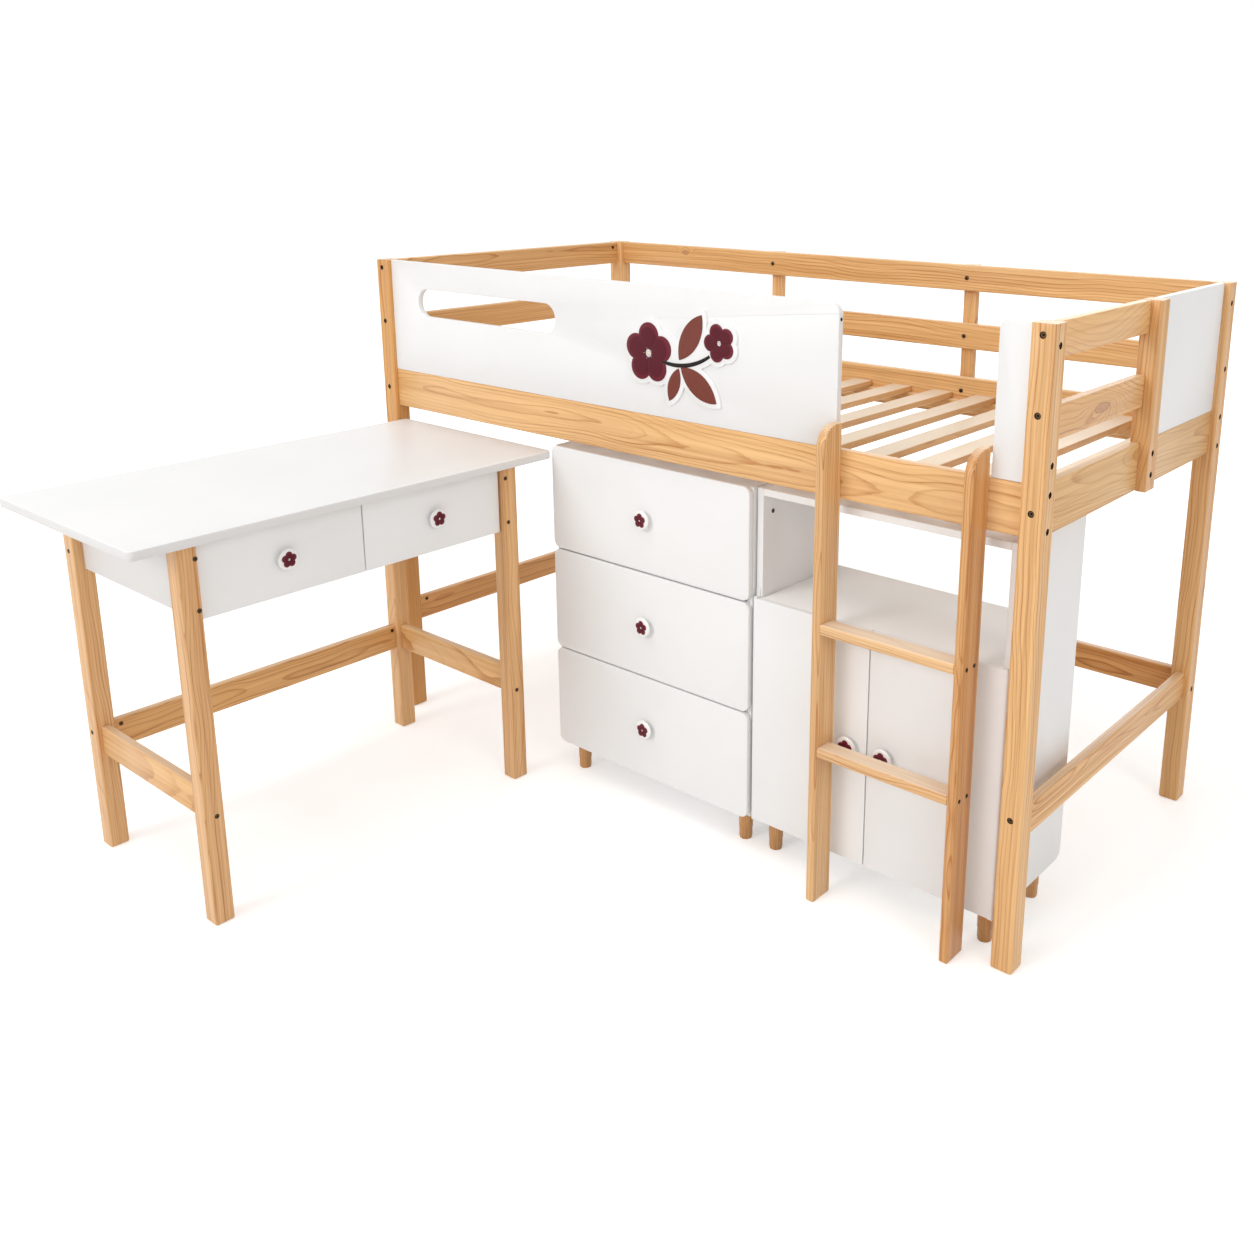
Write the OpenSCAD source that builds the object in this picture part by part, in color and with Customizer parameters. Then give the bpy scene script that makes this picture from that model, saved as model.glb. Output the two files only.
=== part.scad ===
// Half-high bed with guard panels, upright ladder, desk, chest of drawers and small cabinet.
// Units are millimetres. Z is up, X runs along the bed, Y runs from the open side to the back.

/* [Bed] */
// Length over the corner posts
bed_length = 1872; // [1700:1:2200]
// Depth over the corner posts
bed_depth = 898; // [780:1:1200]
// Height of the corner posts
post_height = 1237; // [1150:1:1400]
// Side of a square post
post_width = 45; // [40:1:70]
// Rounding of the long edges of the posts
post_round = 5; // [2:1:8]
// Underside of the side and end rails
rail_bottom = 858; // [840:1:900]
// Height of the side and end rails
rail_height = 98; // [80:1:140]
// Thickness of every rail
rail_thickness = 20; // [16:1:24]
// Distance from a post's outer face to a rail's outer face
rail_inset = 12; // [6:1:14]
// Rounding of the long edges of the rails
rail_round = 4; // [1:1:6]
// Underside of the low rails at the back and at the right end
low_rail_bottom = 266; // [120:1:400]
// Underside of the low rail at the left end
left_low_rail_bottom = 244; // [120:1:400]
// Height of the low rails
low_rail_height = 64; // [40:1:100]

/* [Slats] */
// Number of slats
slat_count = 15; // [8:1:20]
// Width of a slat
slat_width = 55; // [45:1:85]
// Thickness of a slat
slat_thickness = 16; // [12:1:22]
// Gap between the end slats and the posts
slat_end_gap = 12; // [4:1:60]
// Depth of the slats' top below the rails' top
slat_drop = 40; // [30:1:60]
// Height of the two ledgers that carry the slats
ledger_height = 30; // [20:1:36]
// Thickness of the ledgers
ledger_thickness = 20; // [15:1:30]

/* [Guards] */
// Height of a guard rail
guard_height = 64; // [40:1:90]
// Share of the free height that lies below the middle guard rails
guard_share = 0.47; // [0.3:0.01:0.7]
// Width of the right guard upright
upright_width = 45; // [35:1:60]
// Distance of the right guard upright behind the middle of the bed
upright_shift = 15; // [-40:1:60]
// Width of the two back guard uprights
back_upright_width = 35; // [30:1:60]
// Place of the first back guard upright as a share of the bed's length
first_upright_share = 0.333; // [0.25:0.001:0.42]
// Place of the second back guard upright as a share of the bed's length
second_upright_share = 0.657; // [0.58:0.001:0.75]
// Thickness of the white panels
panel_thickness = 15; // [12:1:18]
// Rounding of the long panel's free top corner
panel_corner = 24; // [5:1:60]
// Distance from the left post to the grip slot in the long panel
slot_offset = 106; // [60:1:300]
// Length of the grip slot
slot_length = 502; // [200:1:600]
// Height of the grip slot
slot_height = 69; // [40:1:100]
// Distance from the panel's top edge down to the grip slot's centre line
slot_below_top = 100; // [60:1:140]

/* [Ladder] */
// Width of the white panel between the ladder and the right post
entry_panel_width = 63; // [40:1:120]
// Width over the two stringers
ladder_width = 334; // [300:1:400]
// Thickness of a stringer
stringer_thickness = 19; // [16:1:26]
// Depth of a stringer from front to back
stringer_depth = 60; // [50:1:80]
// Height of the stringers
ladder_height = 1010; // [970:1:1100]
// Rounding of the stringers' front top corners
stringer_corner = 44; // [10:1:48]
// Top of the lower tread
lower_tread_top = 352; // [250:1:400]
// Top of the upper tread
upper_tread_top = 615; // [560:1:680]
// Thickness of a tread
tread_thickness = 21; // [16:1:30]
// Depth of a tread from front to back
tread_depth = 42; // [30:1:46]

/* [Desk] */
// Distance from the left end of the bed to the desk top
desk_offset = 58; // [46:1:60]
// Width of the desk top
desk_width = 560; // [500:1:561]
// Length of the desk top, away from the bed
desk_length = 1012; // [900:1:1200]
// Distance that the desk top reaches under the front rail
desk_tuck = 10; // [0:1:15]
// Height of the desk
desk_height = 823; // [720:1:835]
// Thickness of the desk top
desk_top_thickness = 19; // [16:1:28]
// Rounding of the desk top's corners
desk_corner = 12; // [5:1:50]
// Side of a square desk leg
desk_leg_width = 41; // [35:1:50]
// Overhang of the top beyond the legs at the drawers' side
desk_front_overhang = 38; // [20:1:50]
// Overhang of the top beyond the legs at the side across from the drawers
desk_back_overhang = 30; // [20:1:50]
// Overhang of the top beyond the legs at the near end
desk_near_overhang = 104; // [40:1:120]
// Overhang of the top beyond the legs at the bed end
desk_far_overhang = 80; // [40:1:120]
// Height of the aprons
apron_height = 152; // [120:1:170]
// Thickness of the aprons
apron_thickness = 16; // [12:1:18]
// Distance from a leg's outer face to the drawer fronts
desk_front_inset = 14; // [6:1:18]
// Distance that the drawer fronts hang below the aprons
desk_front_drop = 12; // [0:1:20]
// Underside of the desk's stretchers
stretcher_bottom = 225; // [100:1:350]
// Height of the desk's stretchers
stretcher_height = 66; // [40:1:90]
// Length of the desk drawers' boxes behind the front
desk_drawer_depth = 395; // [250:1:395]

/* [Chest] */
// Width of the chest
chest_width = 597; // [500:1:600]
// Depth of the chest behind its fronts
chest_depth = 290; // [250:1:480]
// Underside of the chest
chest_bottom = 78; // [60:1:110]
// Top of the chest
chest_top = 838; // [780:1:840]
// Rounding of the drawer fronts' corners
front_corner = 18; // [4:1:30]
// Gap between two drawer fronts
front_gap = 4; // [2:1:6]
// Thickness of the chest's drawer fronts
front_thickness = 14; // [12:1:18]

/* [Cabinet] */
// Gap between the chest and the cabinet
cabinet_gap = 4; // [3:1:30]
// Width of the cabinet
cabinet_width = 593; // [500:1:600]
// Gap between the cabinet and the right post
cabinet_end_gap = 13; // [3:1:30]
// Depth of the cabinet's case
cabinet_depth = 283; // [240:1:400]
// Underside of the cabinet
cabinet_bottom = 80; // [60:1:110]
// Top of the cabinet
cabinet_top = 836; // [780:1:840]
// Top of the deck between the open shelf and the doors
deck_top = 597; // [500:1:640]
// Thickness of a door
door_thickness = 13; // [12:1:16]
// Gap between the two doors
door_gap = 3; // [2:1:6]
// Thickness of the boards in the chest and the cabinet
board_thickness = 16; // [14:1:19]
// Thickness of the back panels
back_thickness = 5; // [3:1:8]

/* [Knobs and feet] */
// Diameter of a knob's round plate
knob_diameter = 46; // [30:1:50]
// Distance that a knob stands out
knob_reach = 18; // [12:1:20]
// Diameter of the turned feet
foot_diameter = 32; // [24:1:44]

/* [Blossom sprig] */
// Distance from the long panel's free end to the middle of the sprig
sprig_offset = 400; // [200:1:700]
// Overall height of the sprig's backing board
sprig_height = 214; // [100:1:240]
// Thickness of the sprig's backing board
sprig_backing = 5; // [3:1:6]
// Thickness of the applied blossoms, leaves and stem
sprig_relief = 3; // [2:1:3]

/* [Hidden] */
$fn = 40;
clear = 0.3;
recess_depth = 6;
recess_radius = 6.3;
bolt_radius = 5.3;
screw_head_radius = 4.2;
screw_head = 1.2;
upper_bolt_share = 0.69;
middle_bolt_share = 0.81;
low_bolt_share = 0.83;
drawer_wall = 12;
runner_height = 16;
runner_reach = 10;
pivot_radius = 2;
pivot_clearance = 0.06;
plate = 2.2;
plate_margin = 1.5;
plate_leaf = 20;
plate_reach = 24;
pin_length = 10;
chest_foot_side = 39;
chest_foot_front = 48;
chest_foot_back = 40;
cabinet_foot_side = 37;
cabinet_foot_front = 47;
cabinet_foot_back = 52;

left_inner = post_width;
right_inner = bed_length - post_width;
back_inner = bed_depth - post_width;
rail_top = rail_bottom + rail_height;
guard_top_bottom = post_height - guard_height;
guard_mid_bottom = rail_top + guard_share * (guard_top_bottom - rail_top - guard_height);
front_face = rail_inset;
front_back = rail_inset + rail_thickness;
end_face = bed_length - rail_inset;
end_inner = end_face - rail_thickness;
back_face = bed_depth - rail_inset;
back_inner_face = back_face - rail_thickness;
middle_x = bed_length / 2;
middle_y = bed_depth / 2;
upright_y = middle_y + upright_shift;
back_upright_places = [bed_length * first_upright_share, bed_length * second_upright_share];
upright_outer = end_face + rail_thickness;
back_upright_outer = back_face + rail_thickness;
slat_top = rail_top - slat_drop;
slat_bottom = slat_top - slat_thickness;

panel_gap = 2;
ladder_right = right_inner - entry_panel_width - panel_gap;
ladder_left = ladder_right - ladder_width;
ladder_front = front_face - stringer_depth;
panel_lap = 5;
panel_end = ladder_left + panel_lap;
entry_panel_start = right_inner - entry_panel_width;

desk_left = desk_offset;
desk_right = desk_offset + desk_width;
desk_far = front_face + desk_tuck;
desk_near = desk_far - desk_length;
desk_under = desk_height - desk_top_thickness;
leg_left = desk_left + desk_back_overhang;
leg_right = desk_right - desk_front_overhang;
leg_near = desk_near + desk_near_overhang;
leg_far = desk_far - desk_far_overhang;
apron_bottom = desk_under - apron_height;
apron_setback = desk_leg_width / 2;
near_apron_inner = leg_near + apron_setback + apron_thickness;
far_apron_inner = leg_far - apron_setback - apron_thickness;
desk_drawer_face = leg_right - desk_front_inset;
desk_drawer_middle = (leg_near + leg_far) / 2;

cabinet_right = right_inner - cabinet_end_gap;
cabinet_left = cabinet_right - cabinet_width;
chest_front = 19;
chest_right = cabinet_left - cabinet_gap;
chest_left = chest_right - chest_width;
chest_case_front = chest_front + front_thickness + clear;
chest_case_back = chest_case_front + chest_depth;
chest_front_height = (chest_top - chest_bottom - 2 * front_gap) / 3;

cabinet_front = 27.3;
cabinet_case_front = cabinet_front + door_thickness + 1;
cabinet_case_back = cabinet_case_front + cabinet_depth;
cabinet_corner = 22;
cabinet_back_front = cabinet_case_back - cabinet_corner - 2 - back_thickness;
door_bottom = cabinet_bottom + 0.5;
door_top = deck_top;
door_axis_y = cabinet_front + door_thickness / 2;
door_middle_z = (door_bottom + door_top) / 2;
knob_clearance = 5;
knob_edge = 41;
desk_knob_drop = 10;
left_knob_x = ladder_left + stringer_thickness + knob_clearance + knob_diameter / 2;
door_split = left_knob_x + knob_edge + door_gap / 2;
right_knob_x = door_split + door_gap / 2 + knob_edge;
left_door_width = door_split - door_gap / 2 - cabinet_left;
right_door_width = cabinet_right - door_split - door_gap / 2;

low_x = 0;
high_x = upright_outer;
low_y = desk_near;
high_y = back_upright_outer;

pine = [0.86, 0.68, 0.46];
white = [0.95, 0.94, 0.92];
burgundy = [0.41, 0.15, 0.19];
russet = [0.51, 0.28, 0.24];
dark = [0.14, 0.11, 0.08];
bronze = [0.25, 0.18, 0.12];
zinc = [0.7, 0.7, 0.7];

// A block between two corners
module block(x0, x1, y0, y1, z0, z1) {
  translate([x0, y0, z0])
    cube([x1 - x0, y1 - y0, z1 - z0]);
}

// A rectangle with four rounded corners
module rounded_rectangle(w, h, r) {
  translate([r, 0])
    square([w - 2 * r, h]);
  translate([0, r])
    square([w, h - 2 * r]);
  for (x = [r, w - r])
    for (y = [r, h - r])
      translate([x, y])
        circle(r);
}

// Straight bars with rounded long edges, along X, Y and Z
module bar_x(x0, x1, y0, y1, z0, z1, r) {
  translate([x0, y0, z0])
    rotate([90, 0, 90])
      linear_extrude(x1 - x0)
        rounded_rectangle(y1 - y0, z1 - z0, r);
}

module bar_y(x0, x1, y0, y1, z0, z1, r) {
  translate([x0, y1, z0])
    rotate([90, 0, 0])
      linear_extrude(y1 - y0)
        rounded_rectangle(x1 - x0, z1 - z0, r);
}

module bar_z(x0, x1, y0, y1, z0, z1, r) {
  translate([x0, y0, z0])
    linear_extrude(z1 - z0)
      rounded_rectangle(x1 - x0, y1 - y0, r);
}

// Round bars along X, Y and Z, from one end to the other
module rod_x(x0, x1, y, z, r) {
  translate([x0, y, z])
    rotate([0, 90, 0])
      cylinder(r = r, h = x1 - x0);
}

module rod_y(x, y0, y1, z, r) {
  translate([x, y1, z])
    rotate([90, 0, 0])
      cylinder(r = r, h = y1 - y0);
}

module rod_z(x, y, z0, z1, r) {
  translate([x, y, z0])
    cylinder(r = r, h = z1 - z0);
}

// Cuts one corner of a flat outline to a round; sx and sy point into the outline
module corner_cut(x, y, sx, sy, r) {
  difference() {
    translate([min(x, x + sx * r) - (sx > 0 ? 1 : 0), min(y, y + sy * r) - (sy > 0 ? 1 : 0)])
      square([r + 1, r + 1]);
    translate([x + sx * r, y + sy * r])
      circle(r);
  }
}

// Heights of the bolts in the posts: those that hold the end rails, and those that hold the side rails
function end_bolts(low) = [
  guard_top_bottom + guard_height * upper_bolt_share,
  guard_mid_bottom + guard_height * middle_bolt_share,
  rail_bottom + rail_height / 2,
  low + low_rail_height * low_bolt_share
];
function back_bolts() = [
  guard_top_bottom + guard_height * 0.3,
  guard_mid_bottom + guard_height * 0.3,
  rail_top - 16,
  rail_bottom + 16,
  low_rail_bottom + low_rail_height * 0.3
];
front_bolts = [post_height - 38, rail_top + 36, rail_top - 16, rail_bottom + 16];

// A post with the recesses for its bolts; the y face and the x face that carry them are given
module post(x, y, face_y, face_x, y_heights, x_heights) {
  inward_y = face_y > y ? -1 : 1;
  inward_x = face_x > x ? -1 : 1;
  deep_y = face_y + inward_y * recess_depth;
  deep_x = face_x + inward_x * recess_depth;
  difference() {
    bar_z(x, x + post_width, y, y + post_width, 0, post_height, post_round);
    for (z = y_heights)
      rod_y(x + post_width / 2, min(deep_y, face_y - inward_y), max(deep_y, face_y - inward_y), z, recess_radius);
    for (z = x_heights)
      rod_x(min(deep_x, face_x - inward_x), max(deep_x, face_x - inward_x), y + post_width / 2, z, recess_radius);
  }
}

module post_front_left() {
  color(pine)
    post(0, 0, 0, 0, end_bolts(left_low_rail_bottom), front_bolts);
}

module post_front_right() {
  color(pine)
    post(right_inner, 0, 0, bed_length, end_bolts(low_rail_bottom), front_bolts);
}

module post_back_left() {
  color(pine)
    post(0, back_inner, bed_depth, 0, end_bolts(left_low_rail_bottom), back_bolts());
}

module post_back_right() {
  color(pine)
    post(right_inner, back_inner, bed_depth, bed_length, end_bolts(low_rail_bottom), back_bolts());
}

module front_side_rail() {
  color(pine)
    bar_x(left_inner, right_inner, front_face, front_back, rail_bottom, rail_top, rail_round);
}

module back_side_rail() {
  color(pine)
    bar_x(left_inner, right_inner, back_inner_face, back_face, rail_bottom, rail_top, rail_round);
}

module left_end_rail() {
  color(pine)
    bar_y(rail_inset, front_back, left_inner, back_inner, rail_bottom, rail_top, rail_round);
}

module right_end_rail() {
  color(pine)
    bar_y(end_inner, end_face, left_inner, back_inner, rail_bottom, rail_top, rail_round);
}

module back_guard_rails() {
  color(pine)
    for (z = [guard_mid_bottom, guard_top_bottom])
      bar_x(left_inner, right_inner, back_inner_face, back_face, z, z + guard_height, rail_round);
}

module left_guard_rails() {
  color(pine)
    for (z = [guard_mid_bottom, guard_top_bottom])
      bar_y(rail_inset, front_back, left_inner, back_inner, z, z + guard_height, rail_round);
}

// The two short rails end at the upright with rounded corners
module right_guard_rails() {
  length = upright_y - upright_width / 2 - left_inner;
  color(pine)
    for (z = [guard_mid_bottom, guard_top_bottom])
      translate([end_inner, left_inner, z])
        rotate([90, 0, 90])
          linear_extrude(rail_thickness)
            difference() {
              square([length, guard_height]);
              corner_cut(length, 0, -1, 1, 8);
              corner_cut(length, guard_height, -1, -1, 3);
            }
}

// The upright is notched over the end rail, so its outer half reaches down to the rail's lower edge
module right_guard_upright() {
  y0 = upright_y - upright_width / 2;
  y1 = upright_y + upright_width / 2;
  color(pine)
    difference() {
      union() {
        bar_z(end_inner, upright_outer, y0, y1, rail_top, post_height, rail_round);
        block(end_face, upright_outer, y0, y1, rail_bottom, rail_top);
      }
      for (z = [rail_bottom + 32, rail_top - 22])
        rod_x(upright_outer - recess_depth, upright_outer + 1, upright_y, z, recess_radius);
    }
}

module back_guard_uprights() {
  color(pine)
    for (x = back_upright_places)
      bar_z(x - back_upright_width / 2, x + back_upright_width / 2, back_face, back_upright_outer,
            rail_bottom, post_height, rail_round);
}

module front_guard_panel() {
  length = panel_end - left_inner;
  height = post_height - rail_top;
  half_slot = slot_height / 2;
  slot_rise = height - slot_below_top;
  color(white)
    translate([left_inner, front_face + panel_thickness, rail_top])
      rotate([90, 0, 0])
        linear_extrude(panel_thickness)
          difference() {
            square([length, height]);
            corner_cut(length, height, -1, -1, panel_corner);
            translate([slot_offset + half_slot, slot_rise - half_slot])
              square([slot_length - slot_height, slot_height]);
            for (x = [slot_offset + half_slot, slot_offset + slot_length - half_slot])
              translate([x, slot_rise])
                circle(half_slot);
          }
}

module entry_panel() {
  length = right_inner - entry_panel_start;
  height = post_height - rail_top;
  color(white)
    translate([entry_panel_start, front_face + panel_thickness, rail_top])
      rotate([90, 0, 0])
        linear_extrude(panel_thickness)
          difference() {
            square([length, height]);
            corner_cut(0, height, 1, -1, panel_corner * 0.7);
          }
}

module right_end_panel() {
  color(white)
    block(end_face - panel_thickness, end_face, upright_y + upright_width / 2, back_inner, rail_top, post_height);
}

module left_low_rail() {
  z = left_low_rail_bottom;
  color(pine)
    bar_y(rail_inset, front_back, left_inner, back_inner, z, z + low_rail_height, rail_round);
}

module right_low_rail() {
  z = low_rail_bottom;
  color(pine)
    bar_y(end_inner, end_face, left_inner, back_inner, z, z + low_rail_height, rail_round);
}

module back_low_rail() {
  z = low_rail_bottom;
  color(pine)
    bar_x(left_inner, right_inner, back_inner_face, back_face, z, z + low_rail_height, rail_round);
}

module slat_ledgers() {
  z0 = slat_bottom - ledger_height;
  color(pine)
    for (y = [front_back, back_inner_face - ledger_thickness])
      block(left_inner, right_inner, y, y + ledger_thickness, z0, slat_bottom);
}

module bed_slats() {
  first = left_inner + slat_end_gap;
  last = right_inner - slat_end_gap - slat_width;
  step = (last - first) / (slat_count - 1);
  color(pine)
    for (i = [0 : slat_count - 1])
      bar_y(first + i * step, first + i * step + slat_width, front_back + 2, back_inner_face - 2,
            slat_bottom, slat_top, 3);
}

// The heads sit on the bottoms of their recesses
module bed_bolts() {
  bottom = recess_depth - 4;
  color(bronze) {
    for (x = [post_width / 2, bed_length - post_width / 2]) {
      low = x < middle_x ? left_low_rail_bottom : low_rail_bottom;
      for (z = end_bolts(low)) {
        rod_y(x, bottom, recess_depth, z, bolt_radius);
        rod_y(x, bed_depth - recess_depth, bed_depth - bottom, z, bolt_radius);
      }
    }
    for (z = front_bolts) {
      rod_x(bottom, recess_depth, post_width / 2, z, bolt_radius);
      rod_x(bed_length - recess_depth, bed_length - bottom, post_width / 2, z, bolt_radius);
    }
    for (z = back_bolts()) {
      rod_x(bottom, recess_depth, bed_depth - post_width / 2, z, bolt_radius);
      rod_x(bed_length - recess_depth, bed_length - bottom, bed_depth - post_width / 2, z, bolt_radius);
    }
    for (z = [rail_bottom + 32, rail_top - 22])
      rod_x(upright_outer - recess_depth, upright_outer - bottom, upright_y, z, bolt_radius);
    for (x = back_upright_places)
      for (z = [guard_top_bottom + guard_height / 2, guard_mid_bottom + guard_height / 2, rail_top - 35])
        rod_y(x, back_inner_face - 2, back_inner_face, z, bolt_radius);
  }
}

// The sprig: a five-petalled blossom and a small one on a bowed stem, with pointed leaves
unit = sprig_height / 214;
sprig_x = panel_end - sprig_offset;
sprig_z = (rail_top + post_height) / 2 - unit * 4.5;
big_blossom = [-84, 0] * unit;
small_blossom = [112, 40] * unit;
petal_ring = 38 * unit;
petal_radius = 28 * unit;
small_ring = 23 * unit;
small_petal = 17.5 * unit;
eye_radius = 9 * unit;
stem_middle = [-8, 152] * unit;
stem_radius = 170 * unit;
stem_half_width = 4.5 * unit;
leaf_radius = 84 * unit;
leaf_spread = 60 * unit;
small_leaf = 0.66;
border = 10 * unit;
spacing = 3 * unit;

// Places a flat outline on the long panel's front, standing up
module on_panel(inner, outer) {
  translate([sprig_x, front_face - inner, sprig_z])
    rotate([90, 0, 0])
      linear_extrude(outer - inner)
        children();
}

module petals(place, ring, radius, turn) {
  translate(place)
    for (i = [0 : 4])
      rotate(turn + i * 72)
        translate([0, ring])
          circle(radius);
}

// A pointed leaf is what two circles share
module leaf(place, turn, grow, size) {
  translate(place)
    rotate(turn)
      intersection() {
        translate([0, leaf_spread * size])
          circle(leaf_radius * size + grow);
        translate([0, -leaf_spread * size])
          circle(leaf_radius * size + grow);
      }
}

module leaves(grow) {
  leaf([34, 44] * unit, 58, grow, 1);
  leaf([56, -54] * unit, -34, grow, 1);
  leaf([-12, -60] * unit, 70, grow, small_leaf);
}

// The bowed stem is part of a ring
module stem(half_width) {
  intersection() {
    difference() {
      translate(stem_middle)
        circle(stem_radius + half_width);
      translate(stem_middle)
        circle(stem_radius - half_width);
    }
    translate([big_blossom[0], stem_middle[1] - stem_radius - border * 3])
      square([small_blossom[0] - big_blossom[0], stem_radius / 2]);
  }
}

module blossoms(grow) {
  petals(big_blossom, petal_ring, petal_radius + grow, 0);
  petals(small_blossom, small_ring, small_petal + grow, 20);
  translate(big_blossom)
    circle(petal_ring * 0.8);
  translate(small_blossom)
    circle(small_ring * 0.8);
}

module sprig_backing_board() {
  color(white)
    on_panel(0, sprig_backing)
      union() {
        blossoms(border);
        leaves(border);
        stem(stem_half_width + border);
        translate([-14, 12] * unit)
          circle(26 * unit);
        translate([50, 14] * unit)
          circle(22 * unit);
        translate([72, 12] * unit)
          circle(20 * unit);
        translate([12, -36] * unit)
          circle(24 * unit);
      }
}

module sprig_blossoms() {
  color(burgundy)
    on_panel(sprig_backing, sprig_backing + sprig_relief)
      difference() {
        blossoms(0);
        translate(big_blossom)
          circle(eye_radius);
        translate(small_blossom)
          circle(eye_radius * 0.65);
      }
}

module sprig_leaves() {
  color(russet)
    on_panel(sprig_backing, sprig_backing + sprig_relief)
      difference() {
        leaves(0);
        stem(stem_half_width + spacing);
        blossoms(spacing);
      }
}

module sprig_stem() {
  color(dark)
    on_panel(sprig_backing, sprig_backing + sprig_relief)
      difference() {
        stem(stem_half_width);
        blossoms(spacing);
      }
}

// Ladder
module stringer(x) {
  color(pine)
    translate([x, ladder_front, 0])
      rotate([90, 0, 90])
        linear_extrude(stringer_thickness)
          difference() {
            square([stringer_depth, ladder_height]);
            corner_cut(0, ladder_height, 1, -1, stringer_corner);
            corner_cut(0, 0, 1, 1, 4);
          }
}

module ladder_left_stringer() {
  stringer(ladder_left);
}

module ladder_right_stringer() {
  stringer(ladder_right - stringer_thickness);
}

module ladder_treads() {
  color(pine)
    for (z = [lower_tread_top, upper_tread_top])
      bar_x(ladder_left + stringer_thickness, ladder_right - stringer_thickness,
            ladder_front, ladder_front + tread_depth, z - tread_thickness, z, 4);
}

module ladder_screws() {
  color(bronze)
    for (top = [lower_tread_top, upper_tread_top])
      for (y = [ladder_front + 14, ladder_front + tread_depth]) {
        z = top - tread_thickness / 2;
        rod_x(ladder_right, ladder_right + screw_head, y, z, screw_head_radius);
        rod_x(ladder_left - screw_head, ladder_left, y, z, screw_head_radius);
      }
}

// Desk
module desk_top() {
  color(white)
    bar_z(desk_left, desk_right, desk_near, desk_far, desk_under, desk_height, desk_corner);
}

module desk_legs() {
  color(pine)
    for (x = [leg_left, leg_right - desk_leg_width])
      for (y = [leg_near, leg_far - desk_leg_width])
        bar_z(x, x + desk_leg_width, y, y + desk_leg_width, 0, desk_under, 4);
}

module desk_long_stretcher() {
  x = leg_left + (desk_leg_width - rail_thickness) / 2;
  color(pine)
    bar_y(x, x + rail_thickness, leg_near + desk_leg_width, leg_far - desk_leg_width,
          stretcher_bottom, stretcher_bottom + stretcher_height, rail_round);
}

module desk_end_stretchers() {
  side = (desk_leg_width - rail_thickness) / 2;
  color(pine)
    for (y = [leg_near + side, leg_far - desk_leg_width + side])
      bar_x(leg_left + desk_leg_width, leg_right - desk_leg_width, y, y + rail_thickness,
            stretcher_bottom, stretcher_bottom + stretcher_height, rail_round);
}

module desk_end_aprons() {
  color(white)
    for (y = [leg_near + apron_setback, far_apron_inner])
      block(leg_left + desk_leg_width, leg_right - desk_leg_width, y, y + apron_thickness,
            apron_bottom, desk_under);
}

module desk_back_apron() {
  x = leg_left + apron_setback;
  color(white)
    block(x, x + apron_thickness, leg_near + desk_leg_width, leg_far - desk_leg_width, apron_bottom, desk_under);
}

// Runners under both sides of each drawer box, and the board between the two drawers
module desk_drawer_runners() {
  x0 = leg_left + desk_leg_width;
  x1 = leg_right - desk_leg_width - 2;
  z1 = apron_bottom + runner_height;
  near_edge = near_drawer_y - desk_box_width / 2 + runner_reach;
  far_edge = far_drawer_y + desk_box_width / 2 - runner_reach;
  y0 = near_drawer_y + desk_box_width / 2 - runner_reach;
  y1 = far_drawer_y - desk_box_width / 2 + runner_reach;
  color(pine) {
    block(x0, x1, near_apron_inner, near_edge, apron_bottom, z1);
    block(x0, x1, far_edge, far_apron_inner, apron_bottom, z1);
    union() {
      block(x0, x1, desk_drawer_middle - 7, desk_drawer_middle + 7, apron_bottom, desk_under);
      block(x0, x1, y0, y1, apron_bottom, z1);
    }
  }
}

// A drawer whose front stands at y = 0 and whose box reaches to +Y, resting on z = lift
module drawer(front_w, front_h, front_t, corner, box_w, box_h, box_d, lift) {
  rotate([90, 0, 0])
    translate([-front_w / 2, 0, -front_t])
      linear_extrude(front_t)
        rounded_rectangle(front_w, front_h, corner);
  difference() {
    block(-box_w / 2, box_w / 2, front_t - 0.01, front_t + box_d, lift, lift + box_h);
    block(-box_w / 2 + drawer_wall, box_w / 2 - drawer_wall, front_t - 0.02, front_t + box_d - drawer_wall,
          lift + 8, lift + box_h + 1);
  }
}

// A round plate on a short neck, with five raised petals, that stands out towards -Y
module knob() {
  radius = knob_diameter / 2;
  neck = knob_reach - 10;
  rotate([90, 0, 0])
    rotate_extrude() {
      translate([0, 0])
        square([8, neck + 2]);
      translate([0, neck])
        square([radius - 3, 8]);
      translate([0, neck + 2])
        square([radius, 4]);
    }
  translate([0, -knob_reach + 2.1, 0])
    rotate([90, 0, 0])
      linear_extrude(2.1)
        union() {
          petals([0, 0], 7.5, 5.6, 0);
          circle(6);
        }
}

// Sets a drawer or knob of the desk so that its front faces +X
module facing_right(y, z) {
  translate([desk_drawer_face, y, z])
    rotate([0, 0, 90])
      children();
}

desk_front_width = (leg_far - leg_near - 2 * desk_leg_width - 4 - 3) / 2;
desk_box_width = desk_front_width - 30;
near_drawer_y = desk_drawer_middle - 1.5 - desk_front_width / 2;
far_drawer_y = desk_drawer_middle + 1.5 + desk_front_width / 2;

module desk_drawer() {
  drawer(desk_front_width, apron_height + desk_front_drop - 2, 16, 2, desk_box_width,
         apron_height - runner_height - 26, desk_drawer_depth, desk_front_drop + runner_height + clear);
}

module desk_drawer_near() {
  color(white)
    facing_right(near_drawer_y, apron_bottom - desk_front_drop)
      desk_drawer();
}

module desk_drawer_far() {
  color(white)
    facing_right(far_drawer_y, apron_bottom - desk_front_drop)
      desk_drawer();
}

module desk_knob_near() {
  color(white)
    facing_right(near_drawer_y, apron_bottom + apron_height / 2 - desk_knob_drop)
      knob();
}

module desk_knob_far() {
  color(white)
    facing_right(far_drawer_y, apron_bottom + apron_height / 2 - desk_knob_drop)
      knob();
}

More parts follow.
